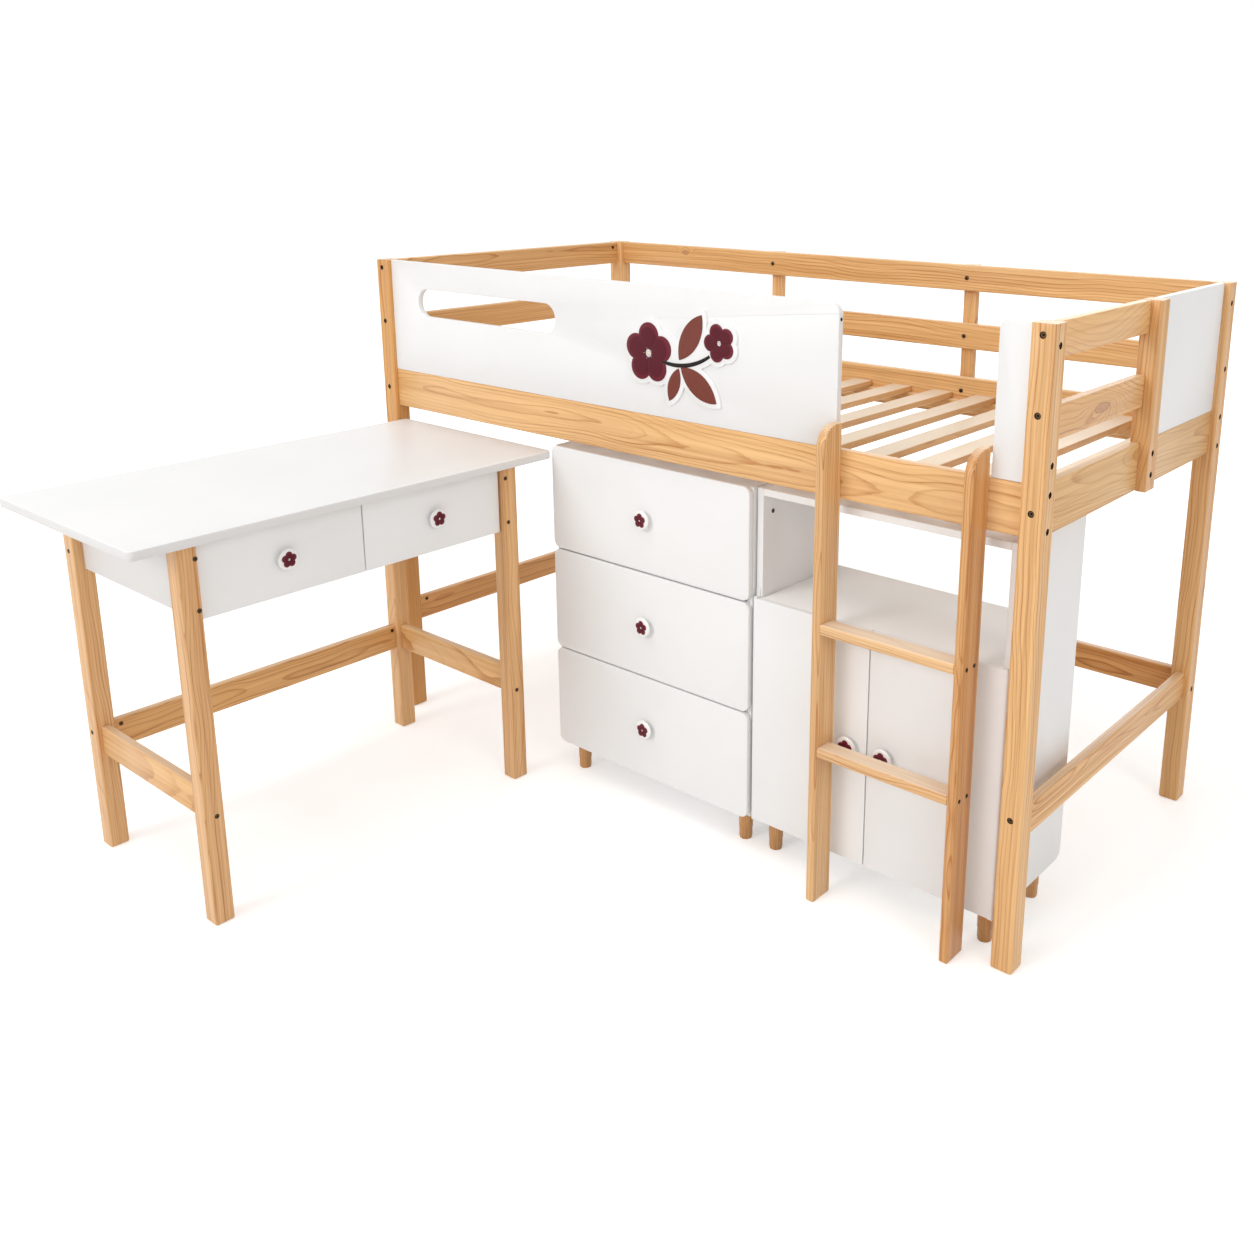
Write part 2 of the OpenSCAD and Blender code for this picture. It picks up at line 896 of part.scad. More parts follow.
// Chest
function chest_drawer_bottom_z(i) = chest_bottom + i * (chest_front_height + front_gap);
function chest_runner_top(i) = chest_drawer_bottom_z(i) + board_thickness + 14;

module chest_sides() {
  color(white)
    for (side = [0, 1]) {
      x0 = side == 0 ? chest_left : chest_right - board_thickness;
      runner_x = side == 0 ? x0 + board_thickness : x0 - 16;
      union() {
        block(x0, x0 + board_thickness, chest_case_front, chest_case_back, chest_bottom, chest_top - 2);
        for (i = [0 : 2])
          block(runner_x, runner_x + 16, chest_case_front + 4, chest_case_back - back_thickness,
                chest_runner_top(i) - runner_height, chest_runner_top(i));
      }
    }
}

module chest_boards() {
  color(white)
    for (z = [chest_bottom, chest_top - 2 - board_thickness])
      block(chest_left + board_thickness, chest_right - board_thickness, chest_case_front,
            chest_case_back - back_thickness, z, z + (z == chest_bottom ? 12 : board_thickness));
}

module chest_back() {
  color(white)
    block(chest_left + board_thickness, chest_right - board_thickness, chest_case_back - back_thickness,
          chest_case_back, chest_bottom, chest_top - 2);
}

// A turned foot, a little slimmer at the floor
module foot(x, y, height) {
  radius = foot_diameter / 2;
  translate([x, y, 0])
    rotate_extrude()
      difference() {
        square([radius, height]);
        translate([radius - 2, -0.01])
          square([3, 5]);
        translate([radius - 1, 4])
          square([2, height * 0.3]);
      }
}

module chest_feet() {
  color(pine)
    for (x = [chest_left + chest_foot_side, chest_right - chest_foot_side])
      for (y = [chest_front + chest_foot_front, chest_case_back - chest_foot_back])
        foot(x, y, chest_bottom);
}

module chest_drawer(i) {
  inner = chest_width - 2 * board_thickness;
  lift = chest_runner_top(i) + clear - chest_drawer_bottom_z(i);
  color(white)
    translate([(chest_left + chest_right) / 2, chest_front, chest_drawer_bottom_z(i)])
      drawer(chest_width, chest_front_height, front_thickness, front_corner, inner - 3,
             chest_front_height - lift - 30, chest_depth - 30, lift);
}

module chest_knob(i) {
  color(white)
    translate([(chest_left + chest_right) / 2, chest_front, chest_drawer_bottom_z(i) + chest_front_height / 2])
      knob();
}

module chest_drawer_top() {
  chest_drawer(2);
}

module chest_drawer_middle() {
  chest_drawer(1);
}

module chest_drawer_bottom() {
  chest_drawer(0);
}

module chest_knob_top() {
  chest_knob(2);
}

module chest_knob_middle() {
  chest_knob(1);
}

module chest_knob_bottom() {
  chest_knob(0);
}

// Cabinet
module cabinet_sides() {
  color(white)
    for (x = [cabinet_left, cabinet_right - board_thickness])
      translate([x, cabinet_case_front, cabinet_bottom])
        rotate([90, 0, 90])
          linear_extrude(board_thickness)
            difference() {
              square([cabinet_depth, cabinet_top - cabinet_bottom]);
              corner_cut(cabinet_depth, 0, -1, 1, cabinet_corner);
            }
}

// Top, deck, shelf and bottom
module cabinet_boards() {
  x0 = cabinet_left + board_thickness;
  x1 = cabinet_right - board_thickness;
  shelf = (cabinet_bottom + deck_top) / 2;
  color(white) {
    block(x0, x1, cabinet_case_front, cabinet_case_back, cabinet_top - board_thickness, cabinet_top);
    block(x0, x1, cabinet_case_front, cabinet_case_back, deck_top - board_thickness, deck_top);
    block(x0, x1, cabinet_case_front + 20, cabinet_back_front, shelf, shelf + board_thickness);
    block(x0, x1, cabinet_case_front, cabinet_back_front, cabinet_bottom, cabinet_bottom + board_thickness);
  }
}

module cabinet_back() {
  color(white)
    block(cabinet_left + board_thickness, cabinet_right - board_thickness, cabinet_back_front,
          cabinet_back_front + back_thickness, cabinet_bottom, deck_top - board_thickness);
}

module cabinet_feet() {
  color(pine)
    for (x = [cabinet_left + cabinet_foot_side, cabinet_right - cabinet_foot_side])
      for (y = [cabinet_front + cabinet_foot_front, cabinet_case_back - cabinet_foot_back])
        foot(x, y, cabinet_bottom);
}

// Small pivot plates above and below each door, with the pins that the doors turn on
module cabinet_pivots() {
  half = door_thickness / 2;
  lower_z = cabinet_bottom - plate;
  upper_z = door_top + clear;
  color(zinc)
    for (side = [0, 1]) {
      axis_x = side == 0 ? cabinet_left + half : cabinet_right - half;
      x0 = axis_x - half + plate_margin;
      x1 = axis_x + half - plate_margin;
      union() {
        block(x0, x1, door_axis_y - half + plate_margin, cabinet_case_front + plate_reach, lower_z, cabinet_bottom);
        rod_z(axis_x, door_axis_y, lower_z + plate / 4, door_bottom + pin_length, pivot_radius);
      }
      union() {
        block(x0, x1, door_axis_y - half + plate_margin, cabinet_case_front, upper_z, upper_z + plate);
        block(x0, x1, cabinet_case_front - plate, cabinet_case_front, upper_z, upper_z + plate_leaf);
        rod_z(axis_x, door_axis_y, door_top - pin_length, upper_z + plate / 2, pivot_radius);
      }
    }
}

// A door whose pivot stands at x = 0 and whose free edge lies at +X; its hinge edge is fully rounded
module door(width) {
  half = door_thickness / 2;
  height = door_top - door_bottom;
  difference() {
    linear_extrude(height)
      union() {
        circle(half);
        translate([0, -half])
          square([width - half, door_thickness]);
      }
    rod_z(0, 0, -1, pin_length + 3, pivot_radius + pivot_clearance);
    rod_z(0, 0, height - pin_length - 3, height + 1, pivot_radius + pivot_clearance);
  }
}

module cabinet_door_left() {
  color(white)
    translate([cabinet_left + door_thickness / 2, door_axis_y, door_bottom])
      door(left_door_width);
}

module cabinet_door_right() {
  color(white)
    translate([cabinet_right - door_thickness / 2, door_axis_y, door_bottom])
      mirror([1, 0, 0])
        door(right_door_width);
}

module cabinet_knob_left() {
  color(white)
    translate([left_knob_x, cabinet_front, door_middle_z])
      knob();
}

module cabinet_knob_right() {
  color(white)
    translate([right_knob_x, cabinet_front, door_middle_z])
      knob();
}

// The whole set stands with the middle of its floor area at the origin
module placed() {
  translate([-(low_x + high_x) / 2, -(low_y + high_y) / 2, 0])
    children();
}

placed() post_front_left();
placed() post_front_right();
placed() post_back_left();
placed() post_back_right();
placed() front_side_rail();
placed() back_side_rail();
placed() left_end_rail();
placed() right_end_rail();
placed() back_guard_rails();
placed() left_guard_rails();
placed() right_guard_rails();
placed() right_guard_upright();
placed() back_guard_uprights();
placed() front_guard_panel();
placed() entry_panel();
placed() right_end_panel();
placed() left_low_rail();
placed() right_low_rail();
placed() back_low_rail();
placed() slat_ledgers();
placed() bed_slats();
placed() bed_bolts();
placed() sprig_backing_board();
placed() sprig_blossoms();
placed() sprig_leaves();
placed() sprig_stem();
placed() ladder_left_stringer();
placed() ladder_right_stringer();
placed() ladder_treads();
placed() ladder_screws();
placed() desk_top();
placed() desk_legs();
placed() desk_long_stretcher();
placed() desk_end_stretchers();
placed() desk_end_aprons();
placed() desk_back_apron();
placed() desk_drawer_runners();
placed() desk_drawer_near();
placed() desk_knob_near();
placed() desk_drawer_far();
placed() desk_knob_far();
placed() chest_sides();
placed() chest_boards();
placed() chest_back();
placed() chest_feet();
placed() chest_drawer_top();
placed() chest_drawer_middle();
placed() chest_drawer_bottom();
placed() chest_knob_top();
placed() chest_knob_middle();
placed() chest_knob_bottom();
placed() cabinet_sides();
placed() cabinet_boards();
placed() cabinet_back();
placed() cabinet_feet();
placed() cabinet_pivots();
placed() cabinet_door_left();
placed() cabinet_door_right();
placed() cabinet_knob_left();
placed() cabinet_knob_right();
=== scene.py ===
"""Looks of the combination bed: materials, small pieces, light and camera."""
import math

import bmesh
import bpy
from mathutils import Matrix, Vector


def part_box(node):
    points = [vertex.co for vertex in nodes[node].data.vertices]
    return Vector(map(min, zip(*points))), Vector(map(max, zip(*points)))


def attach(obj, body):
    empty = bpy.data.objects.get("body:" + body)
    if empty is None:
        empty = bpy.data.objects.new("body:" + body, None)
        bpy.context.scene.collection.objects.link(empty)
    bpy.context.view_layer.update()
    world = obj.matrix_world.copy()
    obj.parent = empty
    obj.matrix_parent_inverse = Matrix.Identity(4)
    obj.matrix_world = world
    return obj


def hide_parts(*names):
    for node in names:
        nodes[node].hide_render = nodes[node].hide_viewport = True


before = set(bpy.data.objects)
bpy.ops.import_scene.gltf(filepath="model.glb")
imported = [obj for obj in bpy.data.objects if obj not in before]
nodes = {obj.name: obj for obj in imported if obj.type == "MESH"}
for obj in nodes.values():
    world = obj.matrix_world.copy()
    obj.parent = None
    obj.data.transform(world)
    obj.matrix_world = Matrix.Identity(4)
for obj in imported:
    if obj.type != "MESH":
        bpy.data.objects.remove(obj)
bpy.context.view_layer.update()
ROOT = "bed_set"

# Places are worked out in millimetres from the front left post's outer bottom corner
SHIFT_X = -940.0
SHIFT_Y = 42.0


def place(x, y, z):
    return Vector(((x + SHIFT_X) / 1000, (y + SHIFT_Y) / 1000, z / 1000))


# Node helpers

def sock(tree, socket, value):
    if isinstance(value, bpy.types.NodeSocket):
        tree.links.new(value, socket)
    elif value is not None:
        socket.default_value = value


def calc(tree, op, a, b=None, c=None, clamp=False):
    n = tree.nodes.new("ShaderNodeMath")
    n.operation = op
    n.use_clamp = clamp
    sock(tree, n.inputs[0], a)
    sock(tree, n.inputs[1], b)
    sock(tree, n.inputs[2], c)
    return n.outputs[0]


def vcalc(tree, op, a, b=None):
    n = tree.nodes.new("ShaderNodeVectorMath")
    n.operation = op
    sock(tree, n.inputs[0], a)
    sock(tree, n.inputs[1], b)
    return n.outputs["Value"] if op in ("LENGTH", "DISTANCE", "DOT_PRODUCT") else n.outputs[0]


def combine(tree, x, y, z):
    n = tree.nodes.new("ShaderNodeCombineXYZ")
    sock(tree, n.inputs[0], x)
    sock(tree, n.inputs[1], y)
    sock(tree, n.inputs[2], z)
    return n.outputs[0]


def separate(tree, v):
    n = tree.nodes.new("ShaderNodeSeparateXYZ")
    sock(tree, n.inputs[0], v)
    return n.outputs[0], n.outputs[1], n.outputs[2]


def noise(tree, vector, scale, detail=3.0, rough=0.5):
    n = tree.nodes.new("ShaderNodeTexNoise")
    n.noise_dimensions = "3D"
    sock(tree, n.inputs["Vector"], vector)
    n.inputs["Scale"].default_value = scale
    n.inputs["Detail"].default_value = detail
    n.inputs["Roughness"].default_value = rough
    return n.outputs["Fac"]


def remap(tree, value, a, b, c, d, smooth=False):
    n = tree.nodes.new("ShaderNodeMapRange")
    n.interpolation_type = "SMOOTHSTEP" if smooth else "LINEAR"
    n.clamp = True
    sock(tree, n.inputs[0], value)
    for i, v in enumerate((a, b, c, d)):
        sock(tree, n.inputs[i + 1], v)
    return n.outputs[0]


def mix(tree, factor, a, b):
    n = tree.nodes.new("ShaderNodeMix")
    n.data_type = "RGBA"
    sock(tree, n.inputs[0], factor)
    sock(tree, n.inputs[6], a)
    sock(tree, n.inputs[7], b)
    return n.outputs[2]


def new_material(name):
    m = bpy.data.materials.new(name)
    m.use_nodes = True
    tree = m.node_tree
    return m, tree, tree.nodes["Principled BSDF"]


def bump(tree, height, strength, distance):
    n = tree.nodes.new("ShaderNodeBump")
    n.inputs["Strength"].default_value = strength
    n.inputs["Distance"].default_value = distance
    tree.links.new(height, n.inputs["Height"])
    return n.outputs[0]


# Pine: growth rings round a pith line beside the board, fibres and streaks along it, and a painted sheen on
# its upward faces

EARLY_WOOD = (0.850, 0.532, 0.246)
LATE_WOOD = (0.455, 0.170, 0.037)
HEART_WOOD = (0.84, 0.470, 0.160)
KNOT_WOOD = (0.46, 0.205, 0.105)
KNOT_RIM = (0.24, 0.095, 0.040)
# Painted sheen: upward faces are mixed towards a light cream that stands for the top light's sheen, fully so
# from the second of these slopes on
TOP_SHEEN_CREAM = (0.88, 0.77, 0.62)
TOP_SHEEN_FROM = 0.60
TOP_SHEEN_FULL = 0.95
# Shares that each feature takes in the tone between light and dark wood, and what is taken off again
LATE_SHARE = 0.92
STREAK_SHARE, STREAK_OFF = 0.86, -0.34
BAND_SHARE, BAND_OFF = 0.60, -0.27
FIBRE_SHARE, FIBRE_OFF = 0.44, -0.18
STRIPE_SHARE = 0.20
VEIN_SHARE = 0.24
PORE_SHARE = 0.16
BOARD_SHARE, BOARD_OFF = 0.16, -0.05
# How far apart the boards of one node lie in the wood, and how far to the side, in metres
BOARD_JUMP = 19.0
BOARD_ASIDE = 0.06
SEED_JUMP = 3.17
# How far the pith line wanders across the board and up it, in metres
WANDER = 0.05
WANDER_UP = 0.06
# How much the rings' width changes, and how fast
UNEVEN = 1.9
UNEVEN_PITCH = 0.36
FINE_WAVE = 0.20
# A ring darkens between the first two of these shares of its width, and ends sharply from the third
LATE_FROM, LATE_FULL, LATE_END = 0.30, 0.94, 0.95
LATE_POWER = 4.5
LATE_SHARP, LATE_SOFT = 0.78, 0.22
RING_CHANGE, RING_LEAST = 0.95, 0.16
# The rings' turns round a knot, how far they reach in knots' sizes, and where its rim lies
KNOT_TURNS = 4.2
KNOT_REACH = 3.6
KNOT_INSIDE, KNOT_OUTSIDE = 0.72, 1.02
KNOT_RIM_PLACE, KNOT_RIM_WIDTH = 0.92, 0.20
KNOT_DARKEN, KNOT_RIM_DARKEN = 0.62, 0.50
LACQUER_COAT = 0.26
LACQUER_ROUGH = 0.26
LACQUER_SPECULAR = 0.36
GRAIN_RELIEF = 0.16
GRAIN_DEPTH = 0.0006


def pine(name, grain, seed, pith=(0.03, 0.02), tilt=(0.01, 0.02), ring=0.0055, light=EARLY_WOOD,
         dark=LATE_WOOD, contrast=1.0, rough=0.47, board=None, knot=None, wave=0.8, figure=1.7,
         tint=(1, 1, 1), top_sheen=0.32):
    """A board's material. Board is (axis, first board's place, pitch) for a node of several boards, and
    knot is (place, size, squeeze along the wood)."""
    m, tree, shader = new_material(name)
    light = tuple(c * t for c, t in zip(light, tint))
    dark = tuple(c * t for c, t in zip(dark, tint))
    coordinate = tree.nodes.new("ShaderNodeTexCoord").outputs["Object"]
    x, y, z = separate(tree, coordinate)
    along, across, up = {"x": (x, y, z), "y": (y, x, z), "z": (z, x, y)}[grain]
    if board:
        # Separate boards in one node: each takes its own stretch of the wood
        which, start, pitch = board
        measured = {"x": x, "y": y, "z": z}[which]
        number = calc(tree, "FLOOR", calc(tree, "DIVIDE", calc(tree, "SUBTRACT", measured, start), pitch))
        luck = tree.nodes.new("ShaderNodeTexWhiteNoise")
        luck.noise_dimensions = "1D"
        sock(tree, luck.inputs["W"], calc(tree, "ADD", number, seed))
        shade = luck.outputs["Value"]
        moved = calc(tree, "ADD", along, calc(tree, "MULTIPLY", shade, BOARD_JUMP))
        side = calc(tree, "MULTIPLY_ADD", shade, BOARD_ASIDE, -BOARD_ASIDE / 2)
    else:
        moved = calc(tree, "ADD", along, seed * SEED_JUMP)
        shade = None
        side = 0.0

    def grained(stretch, scale, detail=3.0, roughness=0.5):
        """Noise drawn out along the wood."""
        return noise(tree, combine(tree, calc(tree, "MULTIPLY", moved, stretch),
                                   calc(tree, "MULTIPLY", across, scale),
                                   calc(tree, "MULTIPLY", up, scale)), 1.0, detail, roughness)

    slow = noise(tree, combine(tree, calc(tree, "MULTIPLY", moved, 0.9), across, up), 2.2, 2.0)
    slow_across = noise(tree, combine(tree, calc(tree, "MULTIPLY", moved, 0.7), up, across), 3.1, 2.0)
    bow = calc(tree, "SINE", calc(tree, "MULTIPLY", moved, figure))
    v = calc(tree, "ADD", calc(tree, "ADD", across, pith[0]),
             calc(tree, "ADD", calc(tree, "MULTIPLY", bow, tilt[0]),
                  calc(tree, "ADD", calc(tree, "MULTIPLY_ADD", slow, WANDER, -WANDER / 2), side)))
    w = calc(tree, "ADD", calc(tree, "ADD", up, pith[1]),
             calc(tree, "ADD", calc(tree, "MULTIPLY", bow, tilt[1]),
                  calc(tree, "MULTIPLY_ADD", slow_across, WANDER_UP, -WANDER_UP / 2)))
    radius = calc(tree, "SQRT", calc(tree, "ADD", calc(tree, "MULTIPLY", v, v), calc(tree, "MULTIPLY", w, w)))
    count = calc(tree, "ADD", calc(tree, "DIVIDE", radius, ring),
                 calc(tree, "MULTIPLY", grained(2.4, 20.0), wave))
    count = calc(tree, "ADD", count, calc(tree, "MULTIPLY", grained(16.0, 120.0, 2.0), FINE_WAVE * wave))
    uneven = noise(tree, combine(tree, calc(tree, "MULTIPLY", count, UNEVEN_PITCH), 0.5, 0.5), 1.0, 1.0)
    count = calc(tree, "MULTIPLY_ADD", uneven, UNEVEN, count)
    knot_dark = None
    if knot:
        at, size, squeeze = knot
        kx, ky, kz = separate(tree, vcalc(tree, "SUBTRACT", coordinate, tuple(at)))
        ka, kb, kc = {"x": (kx, ky, kz), "y": (ky, kx, kz), "z": (kz, kx, ky)}[grain]
        distance = vcalc(tree, "LENGTH", combine(tree, calc(tree, "MULTIPLY", ka, squeeze), kb, kc))
        distance = calc(tree, "MULTIPLY_ADD", calc(tree, "SUBTRACT", grained(30.0, 60.0), 0.5),
                        size * 0.5, distance)
        swirl = remap(tree, distance, 0.0, size * KNOT_REACH, 1.0, 0.0, True)
        count = calc(tree, "ADD", count, calc(tree, "MULTIPLY", swirl, KNOT_TURNS))
        knot_dark = remap(tree, distance, size * KNOT_INSIDE, size * KNOT_OUTSIDE, 1.0, 0.0, True)
        off_rim = calc(tree, "ABSOLUTE", calc(tree, "SUBTRACT", distance, size * KNOT_RIM_PLACE))
        knot_ring = remap(tree, off_rim, 0.0, size * KNOT_RIM_WIDTH, 1.0, 0.0, True)
    part = calc(tree, "FRACT", count)
    late = calc(tree, "MULTIPLY", remap(tree, part, LATE_FROM, LATE_FULL, 0.0, 1.0, True),
                remap(tree, part, LATE_END, 1.0, 1.0, 0.0, True))
    late = calc(tree, "ADD", calc(tree, "MULTIPLY", calc(tree, "POWER", late, LATE_POWER), LATE_SHARP),
                calc(tree, "MULTIPLY", late, LATE_SOFT))
    which_ring = tree.nodes.new("ShaderNodeTexWhiteNoise")
    which_ring.noise_dimensions = "1D"
    sock(tree, which_ring.inputs["W"], calc(tree, "FLOOR", count))
    strength = calc(tree, "MULTIPLY_ADD", which_ring.outputs["Value"], RING_CHANGE, RING_LEAST)
    late = calc(tree, "MULTIPLY", late, strength)
    late = calc(tree, "MULTIPLY", late, remap(tree, grained(1.3, 14.0), 0.34, 0.62, 0.35, 1.0))
    fibre = grained(9.0, 420.0, 4.0, 0.62)
    streak = grained(1.4, 46.0)
    band = grained(1.8, 115.0, 2.0)
    vein = remap(tree, grained(2.2, 130.0, 2.0), 0.60, 0.74, 0.0, 1.0, True)
    pore = remap(tree, grained(55.0, 800.0, 1.0), 0.66, 0.78, 0.0, 1.0, True)
    stripe = remap(tree, grained(0.7, 190.0, 2.0), 0.46, 0.62, 0.0, 1.0, True)
    tone = calc(tree, "MULTIPLY", late, LATE_SHARE * contrast)
    for feature, share, off in ((streak, STREAK_SHARE, STREAK_OFF), (band, BAND_SHARE, BAND_OFF),
                                (fibre, FIBRE_SHARE, FIBRE_OFF)):
        tone = calc(tree, "ADD", tone, calc(tree, "MULTIPLY_ADD", feature, share * contrast, off * contrast))
    for feature, share in ((stripe, STRIPE_SHARE), (vein, VEIN_SHARE)):
        tone = calc(tree, "ADD", tone, calc(tree, "MULTIPLY", feature, share * contrast))
    tone = calc(tree, "ADD", tone, calc(tree, "MULTIPLY", pore, PORE_SHARE * contrast), clamp=True)
    if shade is not None:
        tone = calc(tree, "ADD", tone, calc(tree, "MULTIPLY_ADD", shade, BOARD_SHARE, BOARD_OFF), clamp=True)
    colour = mix(tree, tone, (*light, 1), (*dark, 1))
    heart = tuple(c * t for c, t in zip(HEART_WOOD, tint))
    colour = mix(tree, remap(tree, grained(1.1, 7.0, 2.0), 0.3, 0.75, 0.0, 0.36), colour, (*heart, 1))
    if knot_dark is not None:
        colour = mix(tree, calc(tree, "MULTIPLY", knot_dark, KNOT_DARKEN), colour, (*KNOT_WOOD, 1))
        colour = mix(tree, calc(tree, "MULTIPLY", knot_ring, KNOT_RIM_DARKEN), colour, (*KNOT_RIM, 1))
    # Painted sheen: upward faces are lightened towards cream, as the top light's sheen would light them
    facing = separate(tree, tree.nodes.new("ShaderNodeNewGeometry").outputs["Normal"])[2]
    colour = mix(tree, remap(tree, facing, TOP_SHEEN_FROM, TOP_SHEEN_FULL, 0.0, top_sheen, True), colour, (*TOP_SHEEN_CREAM, 1))
    tree.links.new(colour, shader.inputs["Base Color"])
    shine = remap(tree, calc(tree, "ADD", late, fibre), 0.2, 1.5, rough + 0.05, rough - 0.07)
    tree.links.new(shine, shader.inputs["Roughness"])
    height = calc(tree, "ADD", calc(tree, "MULTIPLY", fibre, -0.6), calc(tree, "MULTIPLY", late, 0.35))
    height = calc(tree, "ADD", height, calc(tree, "MULTIPLY", pore, -0.5))
    tree.links.new(bump(tree, height, GRAIN_RELIEF, GRAIN_DEPTH), shader.inputs["Normal"])
    shader.inputs["Coat Weight"].default_value = LACQUER_COAT
    shader.inputs["Coat Roughness"].default_value = LACQUER_ROUGH
    shader.inputs["Specular IOR Level"].default_value = LACQUER_SPECULAR
    return m


# Painted surfaces: a satin film with a faint roller texture and slow changes of gloss

# Painted shade: faces at slopes below the first of these take the greyer edge colour, and above the second
# the main one
SIDE_SHADE_FULL = 0.45
SIDE_SHADE_NONE = 0.85
PAINT_DEPTH = 0.0004
METAL_DEPTH = 0.0002
WORN_SHARE = 0.72


def painted(name, colour, rough=0.40, texture=0.06, change=0.012, coat=0.0, specular=0.45, edge=None):
    m, tree, shader = new_material(name)
    coordinate = tree.nodes.new("ShaderNodeTexCoord").outputs["Object"]
    fine = noise(tree, coordinate, 900.0, 2.0)
    middle = noise(tree, coordinate, 160.0, 3.0)
    slow = noise(tree, coordinate, 5.0, 3.0)
    low = tuple(max(0.0, c - change) for c in colour)
    high = tuple(min(1.0, c + change) for c in colour)
    tint = mix(tree, remap(tree, slow, 0.3, 0.7, 0.0, 1.0), (*low, 1), (*high, 1))
    if edge:
        # Painted shade: faces that don't face up, the edges and the underside, are painted greyer than the
        # top
        facing = separate(tree, tree.nodes.new("ShaderNodeNewGeometry").outputs["Normal"])[2]
        tint = mix(tree, remap(tree, facing, SIDE_SHADE_FULL, SIDE_SHADE_NONE, 1.0, 0.0, True), tint, (*edge, 1))
    tree.links.new(tint, shader.inputs["Base Color"])
    gloss = remap(tree, calc(tree, "ADD", slow, calc(tree, "MULTIPLY", middle, 0.5)), 0.4, 1.1, rough - 0.05,
                  rough + 0.05)
    tree.links.new(gloss, shader.inputs["Roughness"])
    height = calc(tree, "ADD", fine, calc(tree, "MULTIPLY", middle, 0.8))
    tree.links.new(bump(tree, height, texture, PAINT_DEPTH), shader.inputs["Normal"])
    shader.inputs["Specular IOR Level"].default_value = specular
    shader.inputs["Coat Weight"].default_value = coat
    return m


def metal(name, colour, rough):
    m, tree, shader = new_material(name)
    coordinate = tree.nodes.new("ShaderNodeTexCoord").outputs["Object"]
    speck = noise(tree, coordinate, 1400.0, 3.0, 0.6)
    patch = noise(tree, coordinate, 120.0, 3.0)
    low = tuple(c * WORN_SHARE for c in colour)
    tree.links.new(mix(tree, remap(tree, patch, 0.35, 0.7, 0.0, 1.0), (*colour, 1), (*low, 1)),
                   shader.inputs["Base Color"])
    tree.links.new(remap(tree, calc(tree, "ADD", speck, patch), 0.6, 1.4, rough - 0.08, rough + 0.14),
                   shader.inputs["Roughness"])
    tree.links.new(bump(tree, speck, 0.12, METAL_DEPTH), shader.inputs["Normal"])
    shader.inputs["Metallic"].default_value = 1.0
    return m


white = painted("white_satin_paint", (0.853, 0.853, 0.853))
# The desk top's edges and underside get painted shade, a greyer paint than the top
white_top_side_shaded = painted("white_desk_top_paint", (0.845, 0.845, 0.845), edge=(0.735, 0.728, 0.722))
# The cabinet's boards are painted brighter than the other white parts: painted light on the deck in the
# shaded open shelf
cabinet_boards_painted_light = painted("white_cabinet_board_painted_light", (0.92, 0.915, 0.905))
# The end aprons are painted greyer: painted shade under the desk top's overhang
white_apron_shaded = painted("white_apron_painted_shade", (0.745, 0.730, 0.722))
knob_white = painted("white_knob_lacquer", (0.87, 0.865, 0.855), 0.30, 0.02, 0.006, 0.2)
burgundy = painted("burgundy_lacquer", (0.098, 0.0085, 0.018), 0.46, 0.05, 0.004, 0.0, 0.18)
burgundy_light = painted("burgundy_petal_edge", (0.150, 0.018, 0.030), 0.46, 0.05, 0.008, 0.0, 0.18)
russet = painted("russet_leaf_lacquer", (0.190, 0.050, 0.036), 0.46, 0.05, 0.014, 0.0, 0.20)
stem_dark = painted("dark_stem_lacquer", (0.014, 0.010, 0.007), 0.48, 0.05, 0.003, 0.0, 0.20)
cream = painted("cream_eye_lacquer", (0.80, 0.66, 0.50), 0.34, 0.04, 0.02, 0.1)
bronze = metal("bronze_bolt_faces", (0.135, 0.085, 0.048), 0.30)
# Near black paint: painted shade on the screw heads' sides and rims, in their sockets and in their recesses
bolt_shade_paint = painted("painted_shade_bolt_sockets", (0.020, 0.012, 0.007), 0.6, 0.05, 0.004, 0.0, 0.12)
plate_white = painted("white_coated_steel", (0.80, 0.80, 0.785), 0.34, 0.03, 0.01)

